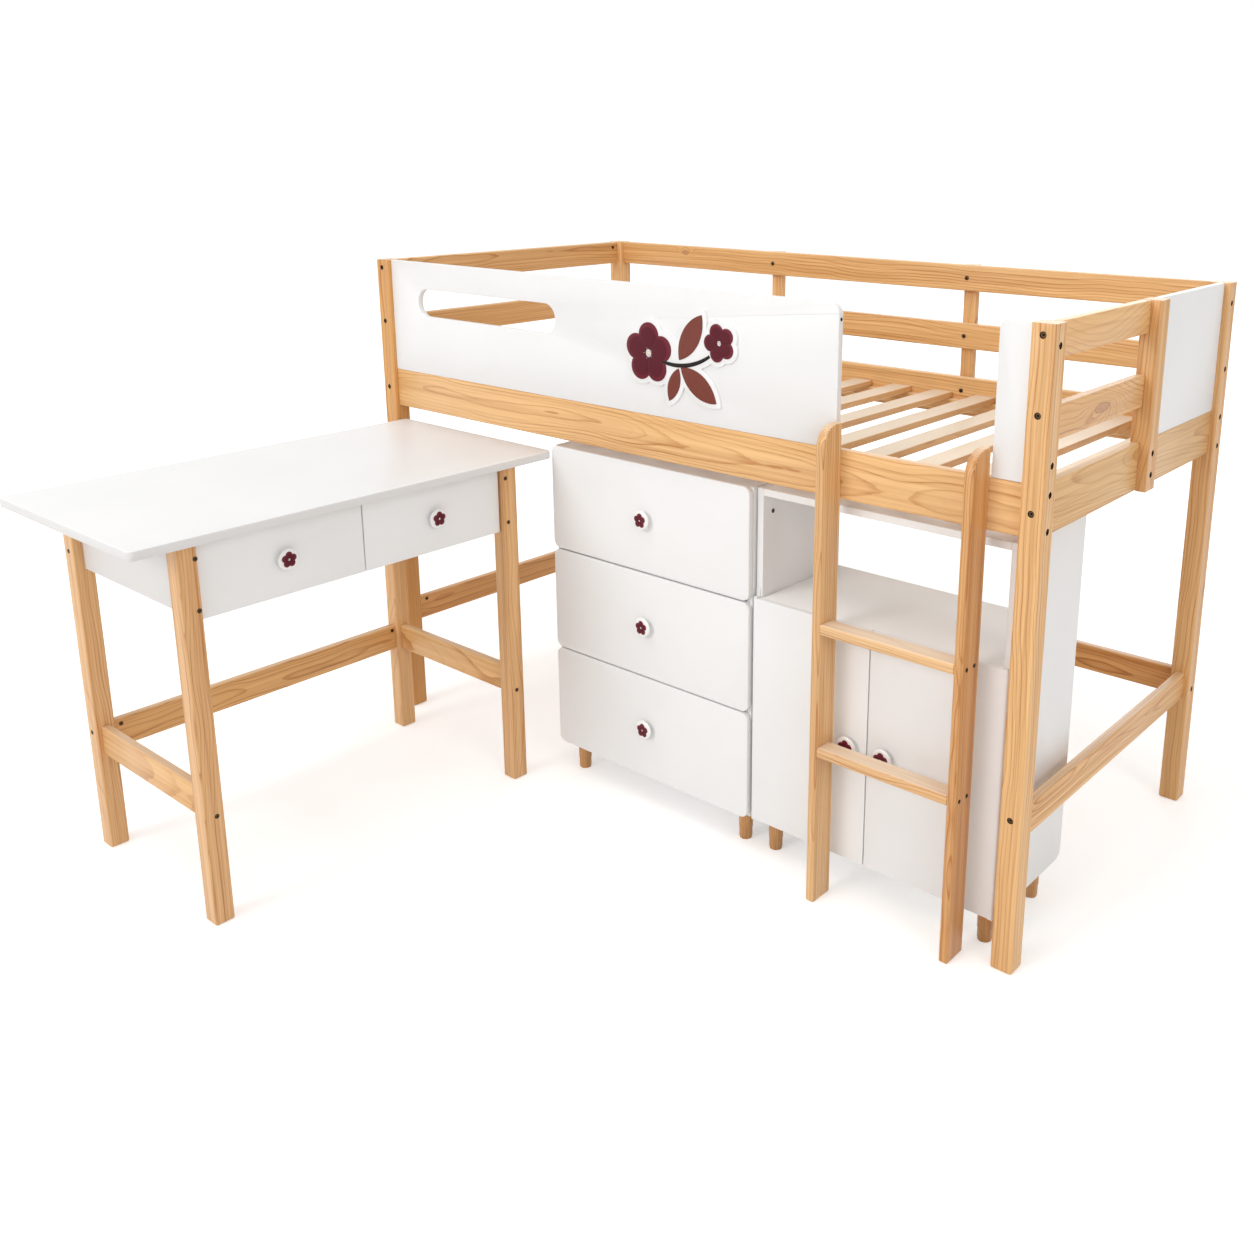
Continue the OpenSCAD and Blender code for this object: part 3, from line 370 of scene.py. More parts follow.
# The slats lie at an even pitch between the end posts, in millimetres
BED_INSIDE = 1872 - 2 * 45
END_GAP = 12
SLAT_WIDTH = 55
SLAT_STEPS = 14
SLAT_FIRST = 57 - 33
SLAT_START = (SLAT_FIRST + SHIFT_X) / 1000
SLAT_PITCH = (BED_INSIDE - 2 * END_GAP - SLAT_WIDTH) / SLAT_STEPS / 1000
wood = {
    "post_front_left": dict(grain="z", seed=1, pith=(0.975, 0.07), tilt=(0.004, 0.01),
                            tint=(0.85, 0.73, 0.53)),
    "post_front_right": dict(grain="z", seed=2, pith=(-0.86, 0.0), tilt=(0.006, 0.012), ring=0.0062),
    "post_back_left": dict(grain="z", seed=3, pith=(0.97, -0.86), tilt=(0.01, 0.006)),
    "post_back_right": dict(grain="z", seed=4, pith=(-0.955, -0.93), tilt=(0.006, 0.01),
                            tint=(0.91, 0.87, 0.84)),
    "front_side_rail": dict(grain="x", seed=5.3, pith=(-0.022, -0.90), tilt=(0.020, 0.018), ring=0.0072,
                            wave=1.1, figure=2.6, tint=(1.02, 1.03, 1.04)),
    "back_side_rail": dict(grain="x", seed=6, pith=(-0.95, -0.905), tilt=(0.02, 0.01), ring=0.006),
    "left_end_rail": dict(grain="y", seed=7, pith=(0.95, -0.90), tilt=(0.02, 0.02), ring=0.006,
                          tint=(0.96, 0.91, 0.88)),
    "right_end_rail": dict(grain="y", seed=8, pith=(-0.965, -0.93), tilt=(0.015, 0.02), ring=0.006,
                           tint=(0.92, 0.95, 0.95)),
    "back_guard_rails": dict(grain="x", seed=9.4, pith=(-0.94, -1.1), tilt=(0.02, 0.02), ring=0.007,
                             contrast=1.15, board=("z", 1.13, 0.5),
                             knot=(place(300, 866, 1218), 0.007, 0.55)),
    "left_guard_rails": dict(grain="y", seed=10, pith=(0.94, -1.2), tilt=(0.02, 0.02), ring=0.006,
                             board=("z", 1.13, 0.5)),
    "right_guard_rails": dict(grain="y", seed=11, pith=(-0.945, -1.16), tilt=(0.024, 0.05), ring=0.0105,
                              contrast=0.8, board=("z", 1.13, 0.5),
                              knot=(place(1860, 246, 1058), 0.0095, 0.27), wave=1.6, figure=7.0),
    "right_guard_upright": dict(grain="z", seed=12, pith=(-0.85, -0.42), tilt=(0.01, 0.01),
                                tint=(0.92, 0.87, 0.80)),
    "back_guard_uprights": dict(grain="z", seed=13, pith=(0.02, -0.92), tilt=(0.01, 0.01),
                                board=("x", 0.0, 3.0)),
    "left_low_rail": dict(grain="y", seed=14, pith=(0.95, -0.3), tilt=(0.01, 0.02), tint=(0.95, 0.82, 0.66)),
    "right_low_rail": dict(grain="y", seed=15, pith=(-0.955, -0.32), tilt=(0.01, 0.02), contrast=1.3),
    "back_low_rail": dict(grain="x", seed=16, pith=(-0.94, -0.28), tilt=(0.01, 0.02), contrast=1.3,
                          tint=(0.84, 0.69, 0.51)),
    "slat_ledgers": dict(grain="x", seed=17, pith=(0.03, -0.9), tilt=(0.01, 0.02)),
    "ladder_left_stringer": dict(grain="z", seed=18, pith=(-0.52, 0.04), tilt=(0.008, 0.012),
                                 tint=(0.97, 1.0, 1.06)),
    "ladder_right_stringer": dict(grain="z", seed=19, pith=(-0.83, 0.03), tilt=(0.008, 0.012), contrast=1.45,
                                  ring=0.0042, tint=(0.87, 0.78, 0.70)),
    # The treads' tops take a stronger painted sheen
    "ladder_treads": dict(grain="x", seed=20, pith=(0.04, -0.47), tilt=(0.01, 0.01), board=("z", 0.48, 0.6),
                          light=(0.87, 0.580, 0.310), top_sheen=0.62),
    "desk_legs": dict(grain="z", seed=21, pith=(0.8, 0.3), tilt=(0.008, 0.012), board=("x", -0.62, 1.0),
                      contrast=1.15, tint=(0.95, 0.94, 0.99)),
    "desk_long_stretcher": dict(grain="y", seed=22, pith=(0.86, -0.24), tilt=(0.01, 0.02), contrast=1.1,
                                tint=(0.95, 0.90, 0.80)),
    "desk_end_stretchers": dict(grain="x", seed=23, pith=(0.4, -0.24), tilt=(0.01, 0.02),
                                board=("y", -0.44, 2.0)),
    "desk_drawer_runners": dict(grain="x", seed=24, pith=(0.4, -0.7)),
    # The feet's tint is painted shade: darker, as they stand in the shade under the chest and the cabinet
    "chest_feet": dict(grain="z", seed=25, pith=(0.02, -0.2), tint=(0.78, 0.68, 0.58)),
    "cabinet_feet": dict(grain="z", seed=26, pith=(-0.6, -0.2), tint=(0.78, 0.68, 0.58)),
    # The slats' tops take a stronger painted sheen
    "bed_slats": dict(grain="y", seed=27, pith=(0.0, -0.93), tilt=(0.015, 0.012), ring=0.0068,
                      light=(0.78, 0.480, 0.230), dark=(0.50, 0.25, 0.090), contrast=0.9, rough=0.56,
                      top_sheen=0.88, board=("x", SLAT_START, SLAT_PITCH)),
}


def dress(name, material):
    nodes[name].data.materials.clear()
    nodes[name].data.materials.append(material)


for name, keys in wood.items():
    dress(name, pine("pine_" + name, **keys))

plain = {
    white_top_side_shaded: ["desk_top"],
    white_apron_shaded: ["desk_end_aprons"],
    cabinet_boards_painted_light: ["cabinet_boards"],
    white: ["front_guard_panel", "entry_panel", "right_end_panel", "sprig_backing_board",
            "desk_back_apron", "desk_drawer_near", "desk_drawer_far", "chest_sides",
            "chest_boards", "chest_back", "chest_drawer_top", "chest_drawer_middle", "chest_drawer_bottom",
            "cabinet_sides", "cabinet_back", "cabinet_door_left", "cabinet_door_right"],
    plate_white: ["cabinet_pivots"],
}
for material, names in plain.items():
    for name in names:
        dress(name, material)


# Softened edges on the CAD solids

WELD_DISTANCE = 0.00002
FLAT_ANGLE = 0.6
SHARP_ANGLE = 38
# The end grain below this height stands on the floor and is rounded over, here by at most this much
FOOT_LEVEL = 0.0004
FOOT_ROUND = 0.0065
FOOT_SEGMENTS = 3
WIDE_EDGE = 0.002
STANDING = ["post_front_left", "post_front_right", "post_back_left", "post_back_right", "desk_legs"]


def soften(name, width, segments=2):
    o = nodes[name]
    weld = o.modifiers.new("weld", "WELD")
    weld.merge_threshold = WELD_DISTANCE
    flat = o.modifiers.new("flat", "DECIMATE")
    flat.decimate_type = "DISSOLVE"
    flat.angle_limit = math.radians(FLAT_ANGLE)
    if name in STANDING:
        group = o.vertex_groups.new(name="foot")
        low = [v.index for v in o.data.vertices if (o.matrix_world @ v.co).z < FOOT_LEVEL]
        group.add(low, 1.0, "REPLACE")
        foot = o.modifiers.new("foot", "BEVEL")
        foot.limit_method = "VGROUP"
        foot.vertex_group = "foot"
        foot.width = FOOT_ROUND
        foot.segments = FOOT_SEGMENTS
        foot.use_clamp_overlap = True
    edge = o.modifiers.new("edge", "BEVEL")
    edge.width = width
    edge.segments = segments
    edge.limit_method = "ANGLE"
    edge.angle_limit = math.radians(SHARP_ANGLE)
    edge.harden_normals = True
    edge.miter_outer = "MITER_ARC"
    edge.use_clamp_overlap = True
    for polygon in o.data.polygons:
        polygon.use_smooth = True


EDGES = {
    0.0016: ["front_guard_panel", "entry_panel", "right_end_panel", "desk_end_aprons", "desk_back_apron",
             "chest_sides", "chest_boards", "cabinet_sides", "cabinet_boards", "slat_ledgers",
             "desk_drawer_runners"],
    0.0022: ["desk_top", "desk_drawer_near", "desk_drawer_far", "chest_drawer_top", "chest_drawer_middle",
             "chest_drawer_bottom", "cabinet_door_left", "cabinet_door_right"],
    0.0026: ["desk_legs"],
    0.0014: ["front_side_rail", "back_side_rail", "left_end_rail", "right_end_rail", "back_guard_rails",
             "left_guard_rails", "left_low_rail", "right_low_rail", "back_low_rail", "bed_slats",
             "back_guard_uprights", "desk_long_stretcher", "desk_end_stretchers", "ladder_treads"],
    0.0010: ["post_front_left", "post_front_right", "post_back_left", "post_back_right",
             "right_guard_upright", "chest_feet", "cabinet_feet"],
    0.0030: ["right_guard_rails", "ladder_left_stringer", "ladder_right_stringer"],
    0.0013: ["sprig_backing_board"],
    0.0005: ["cabinet_pivots", "chest_back", "cabinet_back"],
}
for width, names in EDGES.items():
    for name in names:
        soften(name, width, 3 if width > WIDE_EDGE else 2)


# New pieces

def piece(name, bm, body, materials, stands_for=(), smooth=40):
    mesh = bpy.data.meshes.new(name)
    bmesh.ops.recalc_face_normals(bm, faces=bm.faces)
    for edge in bm.edges:
        if len(edge.link_faces) == 2 and edge.calc_face_angle(0.0) > math.radians(smooth):
            edge.smooth = False
    for face in bm.faces:
        face.smooth = True
    bm.to_mesh(mesh)
    bm.free()
    for m in materials:
        mesh.materials.append(m)
    o = bpy.data.objects.new(name, mesh)
    bpy.context.scene.collection.objects.link(o)
    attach(o, body)
    if stands_for:
        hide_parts(*stands_for)
    return o


def ring_of(bm, points):
    return [bm.verts.new(p) for p in points]


def bridge(bm, a, b, index=0):
    n = len(a)
    for i in range(n):
        face = bm.faces.new((a[i], a[(i + 1) % n], b[(i + 1) % n], b[i]))
        face.material_index = index


def basis(direction):
    """Turns +Z to that direction."""
    return Vector((0, 0, 1)).rotation_difference(Vector(direction)).to_matrix().to_4x4()


# A cap screw's head with a hexagonal socket; its side, outer rim and socket are painted near black, painted
# shade round the head and in the socket
HEAD_SIDES = 36
SHINY = 0
DARK = 1
# Heights as shares of the head's height, widths as shares of its radius or of the socket's
SIDE_TOP = 0.70
RIM_ROUND = 0.80
RIM_TOP = 0.84
RIM_STEP = 0.08
SOCKET = 0.42
SOCKET_EDGE = 0.88
SOCKET_EDGE_WIDTH = 0.95
SOCKET_FLOOR = 0.25
SOCKET_FLOOR_WIDTH = 0.92
NARROW_RIM = 0.80
WIDE_RIM = 0.93


def round_ring(bm, m, r, z, sides=HEAD_SIDES):
    turns = [2 * math.pi * i / sides for i in range(sides)]
    return ring_of(bm, [m @ Vector((r * math.cos(a), r * math.sin(a), z)) for a in turns])


def hexagon_ring(bm, m, apothem, z):
    points = []
    for i in range(HEAD_SIDES):
        a = 2 * math.pi * i / HEAD_SIDES
        r = apothem / math.cos((a + math.pi / 6) % (math.pi / 3) - math.pi / 6)
        points.append(m @ Vector((r * math.cos(a), r * math.sin(a), z)))
    return ring_of(bm, points)


def head(bm, centre, direction, radius, height, rim=NARROW_RIM):
    m = Matrix.Translation(centre) @ basis(direction)
    socket = radius * SOCKET
    rings = [round_ring(bm, m, radius, 0), round_ring(bm, m, radius, height * SIDE_TOP),
             round_ring(bm, m, radius * (rim + 1) / 2, height * RIM_ROUND),
             round_ring(bm, m, radius * rim, height * RIM_TOP),
             round_ring(bm, m, radius * (rim - RIM_STEP), height), hexagon_ring(bm, m, socket, height),
             hexagon_ring(bm, m, socket * SOCKET_EDGE_WIDTH, height * SOCKET_EDGE),
             hexagon_ring(bm, m, socket * SOCKET_FLOOR_WIDTH, height * SOCKET_FLOOR)]
    for k, (a, b) in enumerate(zip(rings, rings[1:])):
        bridge(bm, a, b, SHINY if k in (3, 4) else DARK)
    bm.faces.new(rings[-1]).material_index = DARK
    bm.faces.new(list(reversed(rings[0]))).material_index = DARK


# Painted shade: a thin dark ring that stands for the shade in a bolt's recess
def recess_shade_ring(bm, centre, direction, inner, outer, height):
    m = Matrix.Translation(centre) @ basis(direction)
    rings = [round_ring(bm, m, outer, 0), round_ring(bm, m, outer, height), round_ring(bm, m, inner, height),
             round_ring(bm, m, inner, 0)]
    for a, b in zip(rings, rings[1:] + rings[:1]):
        bridge(bm, a, b, DARK)


def islands(obj):
    """(lowest corner, highest corner) of each separate solid in a CAD node."""
    bm = bmesh.new()
    bm.from_mesh(obj.data)
    bmesh.ops.remove_doubles(bm, verts=bm.verts, dist=0.00001)
    seen = set()
    found = []
    for start in bm.verts:
        if start.index in seen:
            continue
        stack = [start]
        seen.add(start.index)
        group = []
        while stack:
            v = stack.pop()
            group.append(v.co.copy())
            for e in v.link_edges:
                other = e.other_vert(v)
                if other.index not in seen:
                    seen.add(other.index)
                    stack.append(other)
        low = Vector([min(p[i] for p in group) for i in range(3)])
        high = Vector([max(p[i] for p in group) for i in range(3)])
        found.append((low, high))
    bm.free()
    return found


MIDDLE_OF_BED = place(936, 449, 900)
# Bolts nearer to the middle than this, along the bed, hold the back uprights and face the front
BETWEEN_POSTS = 0.7
# Heads thicker than this sit in a recess, and a thin dark ring lines it: painted shade in the recess
SEATED = 0.0030
SHADE_RING_INNER = 0.0058
SHADE_RING_OUTER = 0.00625
SHADE_RING_HEIGHT = 0.0055


def screw_heads(bm, node, outward):
    for low, high in islands(nodes[node]):
        size = high - low
        axis = min(range(3), key=lambda i: size[i])
        centre = (low + high) / 2
        sign = outward(axis, centre)
        direction = Vector((0, 0, 0))
        direction[axis] = sign
        base = centre.copy()
        base[axis] = low[axis] if sign > 0 else high[axis]
        radius = max(size) / 2
        seated = size[axis] > SEATED
        head(bm, base, direction, radius, size[axis], WIDE_RIM if seated else NARROW_RIM)
        if seated:
            recess_shade_ring(bm, base, direction, SHADE_RING_INNER, SHADE_RING_OUTER, SHADE_RING_HEIGHT)


def bed_outward(axis, centre):
    if axis == 1 and abs(centre.x) < BETWEEN_POSTS:
        return -1
    return 1 if centre[axis] > MIDDLE_OF_BED[axis] else -1


bm = bmesh.new()
screw_heads(bm, "bed_bolts", bed_outward)
piece("bed_bolt_heads", bm, ROOT, [bronze, bolt_shade_paint], ["bed_bolts"])
LADDER_LEFT = 1428
LADDER_HALF = 167
ladder_middle = place(LADDER_LEFT + LADDER_HALF, 0, 0).x
bm = bmesh.new()
screw_heads(bm, "ladder_screws", lambda axis, c: 1 if c.x > ladder_middle else -1)
piece("ladder_screw_heads", bm, ROOT, [bronze, bolt_shade_paint], ["ladder_screws"])

# Small screws in the desk's legs and long stretcher and in the bed's left rails, set almost flush
SCREW = 0.0048
SCREW_HEIGHT = 0.0010
LEG_NEAR = -886
LEG_RIGHT = 580
LEG_LEFT = 88
STRETCHER_FACE = 118.5
STRETCHER_MIDDLE = 279
LEFT_RAIL_FACE = 32
bm = bmesh.new()
for x, z in ((108, 692), (106, 275)):
    head(bm, place(x, LEG_NEAR, z), (0, -1, 0), SCREW, SCREW_HEIGHT)
for y, z in ((-850, 768), (-852, 665), (-861, 236), (-91, 771), (-87, 664), (-82, 236)):
    head(bm, place(LEG_RIGHT, y, z), (1, 0, 0), SCREW, SCREW_HEIGHT)
for y, z in ((-865.5, 770), (-865.5, 664), (-865.5, 257), (-78.5, 770), (-78.5, 664), (-78.5, 257)):
    head(bm, place(LEG_LEFT, y, z), (-1, 0, 0), SCREW, SCREW_HEIGHT)
for y in (-828, -108):
    head(bm, place(STRETCHER_FACE, y, STRETCHER_MIDDLE), (1, 0, 0), SCREW, SCREW_HEIGHT)
for y, z in ((72, 298), (826, 298), (72, 1221), (834, 1221)):
    head(bm, place(LEFT_RAIL_FACE, y, z), (1, 0, 0), SCREW, SCREW_HEIGHT)
piece("desk_screw_heads", bm, ROOT, [bronze, bolt_shade_paint])

# Screws on the long panel's free edge and on the inner sides of the open shelf
EDGE_SCREW = 0.0035
EDGE_SCREW_HEIGHT = 0.0008
PANEL_END = 1433
PANEL_MIDDLE = 19.5
SHELF_LEFT = 1237
SHELF_RIGHT = 1798
SHELF_SCREW_DEPTH = 74
SHELF_SCREW_UP = 781
bm = bmesh.new()
for z in (1205, 1000):
    head(bm, place(PANEL_END, PANEL_MIDDLE, z), (1, 0, 0), EDGE_SCREW, EDGE_SCREW_HEIGHT)
for x, side in ((SHELF_LEFT, 1), (SHELF_RIGHT, -1)):
    head(bm, place(x, SHELF_SCREW_DEPTH, SHELF_SCREW_UP), (side, 0, 0), SCREW, SCREW_HEIGHT)
piece("panel_screw_heads", bm, ROOT, [bronze, bolt_shade_paint])


# The knobs: a lacquered disc with a soft rim and a raised five-petalled blossom

PETALS = 5
# Shares of a petal's thickness: its upright edge, its level, and its creases
PETAL_EDGE = 0.48
PETAL_LEVEL = 0.72
CREASE_DEPTH = 0.42
CREASE_WIDTH = 0.10
PETAL_REACH = 0.965
EYE_DOME = 0.55
EYE_RISE = 0.28
EYE_SIDES = 24
EYE_RINGS = 5
RING_LIFT = 0.00002
BEAD_RING = 1.28
BEAD_LIFT = 0.8


def petal_outline(angle, ring, radius, turn):
    step = 2 * math.pi / PETALS
    b = (angle - turn) % step
    if b > step / 2:
        b -= step
    return ring * math.cos(b) + math.sqrt(max(0.0, radius ** 2 - (ring * math.sin(b)) ** 2)), b


def blossom(bm, m, ring, radius, turn, eye, thickness, lift, dome, index, edge_index, count, steps):
    """Domed petals with creases between them, round an open eye."""
    rows = []
    outer = []
    for i in range(count):
        a = 2 * math.pi * i / count
        outer.append((a, *petal_outline(a, ring, radius, turn)))
    for z in (0.0, PETAL_EDGE):
        rows.append(ring_of(bm, [m @ Vector((r * math.cos(a), r * math.sin(a), lift + thickness * z))
                                 for a, r, b in outer]))
    for s in range(steps + 1):
        t = 1 - s / steps
        points = []
        for a, r, b in outer:
            d = eye + (r - eye) * t * PETAL_REACH
            swell = 1 - (abs(2 * t - 0.9) / 1.1) ** 2.6
            crease = math.exp(-((abs(b) - math.pi / PETALS) / CREASE_WIDTH) ** 2)
            h = thickness * (PETAL_LEVEL + dome * max(0.0, swell)) \
                - thickness * CREASE_DEPTH * crease * (0.25 + 0.75 * t)
            points.append(m @ Vector((d * math.cos(a), d * math.sin(a), lift + h)))
        rows.append(ring_of(bm, points))
    rows.append(ring_of(bm, [m @ Vector((eye * math.cos(a), eye * math.sin(a), lift)) for a, r, b in outer]))
    for k, (a, b) in enumerate(zip(rows, rows[1:])):
        bridge(bm, a, b, edge_index if k < 4 else index)
    bridge(bm, rows[-1], rows[0], index)


def stamens(bm, m, eye, lift, index, bead):
    """A small dome in the eye with beads round it."""
    rows = []
    for k in range(EYE_RINGS):
        f = k / EYE_RINGS * math.pi / 2
        rows.append(round_ring(bm, m, eye * EYE_DOME * math.cos(f),
                               lift + eye * EYE_RISE * math.sin(f) + RING_LIFT * k, EYE_SIDES))
    for a, b in zip(rows, rows[1:]):
        bridge(bm, a, b, index)
    bm.faces.new(rows[-1]).material_index = index
    bm.faces.new(list(reversed(rows[0]))).material_index = index
    for j in range(PETALS):
        a = 2 * math.pi * (j + 0.5) / PETALS
        reach = eye * BEAD_RING
        centre = m @ Vector((reach * math.cos(a), reach * math.sin(a), lift + bead * BEAD_LIFT))
        made = bmesh.ops.create_icosphere(bm, subdivisions=2, radius=bead, matrix=Matrix.Translation(centre))
        for v in made["verts"]:
            for f in v.link_faces:
                f.material_index = index


KNOB_SIDES = 72
# The disc's back lies this far below its node's outer end
DISC_BACK = 0.010
NECK = 0.0078
NECK_WAIST = 0.0076
NECK_FLARE = 0.0085
DISC_TOP = 0.0079
DISC_CENTRE = 0.004
# Steps of the disc's rounded rim: how far in from its edge, and how far above its back
RIM_STEPS = ((0.0045, 0.0002), (0.0018, 0.0010), (0.0003, 0.0026), (0.0, 0.0042), (0.0004, 0.0058),
             (0.0018, 0.0071), (0.0040, 0.0078), (0.0060, 0.0079))
KNOB_RING = 0.0095
KNOB_PETAL = 0.0073
KNOB_EYE = 0.0025
KNOB_STAMENS = 0.0023
KNOB_BEAD = 0.0005
KNOB_RELIEF = 0.0015
BLOSSOM_BACK = 0.0077


def knob(name, body, node, direction):
    low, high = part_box(node)
    centre = (low + high) / 2
    axis = 0 if abs(direction[0]) > 0.5 else 1
    base = centre.copy()
    base[axis] = low[axis] if direction[axis] > 0 else high[axis]
    reach = (high - low)[axis]
    radius = max(high - low) / 2
    m = Matrix.Translation(base) @ basis(direction)
    # The blossom stands upright on the disc
    up = m.to_3x3().inverted() @ Vector((0, 0, 1))
    turn = math.atan2(up.y, up.x)
    bm = bmesh.new()
    disc = reach - DISC_BACK
    profile = [(NECK, 0.0), (NECK_WAIST, disc * 0.55), (NECK_FLARE, disc * 0.85)]
    profile += [(radius - inward, disc + above) for inward, above in RIM_STEPS]
    profile.append((DISC_CENTRE, disc + DISC_TOP))
    rings = [round_ring(bm, m, r, z, KNOB_SIDES) for r, z in profile]
    for a, b in zip(rings, rings[1:]):
        bridge(bm, a, b, 0)
    bm.faces.new(rings[-1])
    bm.faces.new(list(reversed(rings[0])))
    blossom(bm, m, KNOB_RING, KNOB_PETAL, turn, KNOB_EYE, KNOB_RELIEF, disc + BLOSSOM_BACK, dome=0.40,
            index=1, edge_index=2, count=100, steps=6)
    stamens(bm, m, KNOB_STAMENS, disc + DISC_TOP, 3, KNOB_BEAD)
    return piece(name, bm, body, [knob_white, burgundy, burgundy_light, cream], [node])


FRONT = (0, -1, 0)
RIGHT = (1, 0, 0)
knob("desk_knob_near_disc", "desk_drawer_near", "desk_knob_near", RIGHT)
knob("desk_knob_far_disc", "desk_drawer_far", "desk_knob_far", RIGHT)
knob("chest_knob_top_disc", "chest_drawer_top", "chest_knob_top", FRONT)
knob("chest_knob_middle_disc", "chest_drawer_middle", "chest_knob_middle", FRONT)
knob("chest_knob_bottom_disc", "chest_drawer_bottom", "chest_knob_bottom", FRONT)
knob("cabinet_knob_left_disc", "cabinet_door_left", "cabinet_knob_left", FRONT)
knob("cabinet_knob_right_disc", "cabinet_door_right", "cabinet_knob_right", FRONT)

# The sprig on the long panel; its flat places are in millimetres from the sprig's middle

POST_WIDTH = 45
SPRIG_ALONG = 988
PANEL_FACE = 12
SPRIG_BACKING = 5
RAIL_TOP = 956
SPRIG_ABOVE = 136
SPRIG = place(POST_WIDTH + SPRIG_ALONG, PANEL_FACE - SPRIG_BACKING, RAIL_TOP + SPRIG_ABOVE)
on_panel = Matrix.Translation(SPRIG) @ Matrix(((1, 0, 0, 0), (0, 0, -1, 0), (0, 1, 0, 0), (0, 0, 0, 1)))
UP = math.pi / 2
SMALL_TURN = math.radians(20)
SPRIG_RELIEF = 0.0026
# Place, ring of the petals' middles, petal's radius, turn, eye and beads of each blossom
BLOSSOMS = (((-84, 0), 38, 28, UP, 9, 1.6), ((112, 40), 23, 17.5, UP + SMALL_TURN, 5.85, 1.1))
bm = bmesh.new()
for (bx, by), ring, radius, turn, eye, bead in BLOSSOMS:
    m = on_panel @ Matrix.Translation((bx / 1000, by / 1000, 0))
    blossom(bm, m, ring / 1000, radius / 1000, turn, eye / 1000, SPRIG_RELIEF, 0.0, dome=0.5,
            index=0, edge_index=1, count=240, steps=14)
    stamens(bm, m, eye / 1000, 0.0, 2, bead / 1000)
piece("sprig_blossom_petals", bm, ROOT, [burgundy, burgundy_light, cream], ["sprig_blossoms"])

# Leaves: two-sided lens outlines, domed, with a midrib and side veins pressed in
LEAVES = (((34, 44), 58, 1.0), ((56, -54), -34, 1.0), ((-12, -60), 70, 0.66))
LEAF_RADIUS = 84
LEAF_SPREAD = 60
LEAF_COLUMNS = 64
LEAF_ROWS = 16
# The tips are cut off here, as a share of half the leaf's length
LEAF_TIP = 0.985
LEAF_BASE = 0.0010
LEAF_DOME = 0.0014
RIB_DEPTH = 0.0008
RIB_WIDTH = 0.0011
VEIN_DEPTH = 0.00028
VEIN_PITCH = 0.0085
VEIN_SLANT = 1.1
bm = bmesh.new()
for (lx, ly), turn, size in LEAVES:
    m = on_panel @ Matrix.Translation((lx / 1000, ly / 1000, 0)) @ Matrix.Rotation(math.radians(turn), 4, "Z")
    r = LEAF_RADIUS * size / 1000
    spread = LEAF_SPREAD * size / 1000
    half = math.sqrt(r * r - spread * spread)
    grid = []
    for i in range(LEAF_COLUMNS + 1):
        s = max(-LEAF_TIP, min(LEAF_TIP, -1 + 2 * i / LEAF_COLUMNS))
        w = math.sqrt(r * r - (s * half) ** 2) - spread
        line = []
        for j in range(LEAF_ROWS + 1):
            t = -1 + 2 * j / LEAF_ROWS
            edge = 1 - abs(t) ** 4
            rib = math.exp(-(t * w / RIB_WIDTH) ** 2) * (1 - abs(s) ** 3)
            vein = 0.5 + 0.5 * math.cos((s * half / VEIN_PITCH - abs(t) * VEIN_SLANT) * 2 * math.pi)
            h = (LEAF_BASE + LEAF_DOME * edge * (1 - s ** 6)
                 - RIB_DEPTH * rib - VEIN_DEPTH * (vein ** 6) * edge)
            line.append(bm.verts.new(m @ Vector((s * half, t * w, h))))
        grid.append(line)
    for a, b in zip(grid, grid[1:]):
        for j in range(LEAF_ROWS):
            bm.faces.new((a[j], a[j + 1], b[j + 1], b[j]))
    border = [line[0] for line in grid] + grid[-1][1:] + [line[-1] for line in reversed(grid[:-1])] + \
        list(reversed(grid[0][1:-1]))
    inverse = m.inverted()
    lower = []
    for v in border:
        p = inverse @ v.co
        lower.append(bm.verts.new(m @ Vector((p.x, p.y, 0.0))))
    bridge(bm, border, lower)
    bm.faces.new(lower)
piece("sprig_leaf_blades", bm, ROOT, [russet], ["sprig_leaves"], 60)

# The stem: a bowed half-round bar that ends inside the blossoms' outlines
STEM_MIDDLE = (-8, 152)
STEM_RADIUS = 170
STEM_HALF = 4.5
STEM_FROM = (-49, -6)
STEM_TO = (85, 12)
STEM_STEPS = 48
STEM_SECTION = 10
STEM_TAPER = 0.28
STEM_RELIEF = 0.0027


def stem_turn(end):
    return math.atan2(end[1] - STEM_MIDDLE[1], end[0] - STEM_MIDDLE[0])


first = stem_turn(STEM_FROM)
last = stem_turn(STEM_TO)
bm = bmesh.new()
rows = []
for i in range(STEM_STEPS + 1):
    a = first + (last - first) * i / STEM_STEPS
    taper = 1.0 - STEM_TAPER * abs(2 * i / STEM_STEPS - 1) ** 2
    line = []
    for j in range(STEM_SECTION + 1):
        f = math.pi * j / STEM_SECTION
        r = STEM_RADIUS + STEM_HALF * taper * math.cos(f)
        line.append(on_panel @ Vector(((STEM_MIDDLE[0] + r * math.cos(a)) / 1000,
                                       (STEM_MIDDLE[1] + r * math.sin(a)) / 1000,
                                       STEM_RELIEF * math.sin(f) * taper)))
    rows.append(ring_of(bm, line))
for a, b in zip(rows, rows[1:]):
    bridge(bm, a, b)
bm.faces.new(rows[0])
bm.faces.new(list(reversed(rows[-1])))
piece("sprig_stem_bar", bm, ROOT, [stem_dark], ["sprig_stem"], 60)

# Floor and light

FLOOR_SIZE = 60
FLOOR_COLOUR = (0.80, 0.79, 0.78)
# The floor glows for the camera, a little more far from this place than near it: painted light that brightens
# the far floor, where the lamps reach less
GLOW_MIDDLE = (0.1, -0.2, 0.0)
GLOW_NEAR = 1.4
GLOW_FAR = 4.5
GLOW_LOW = 0.40
GLOW_HIGH = 0.60
AMBIENT_COLOUR = (1.0, 0.992, 0.982)
AMBIENT = 0.645


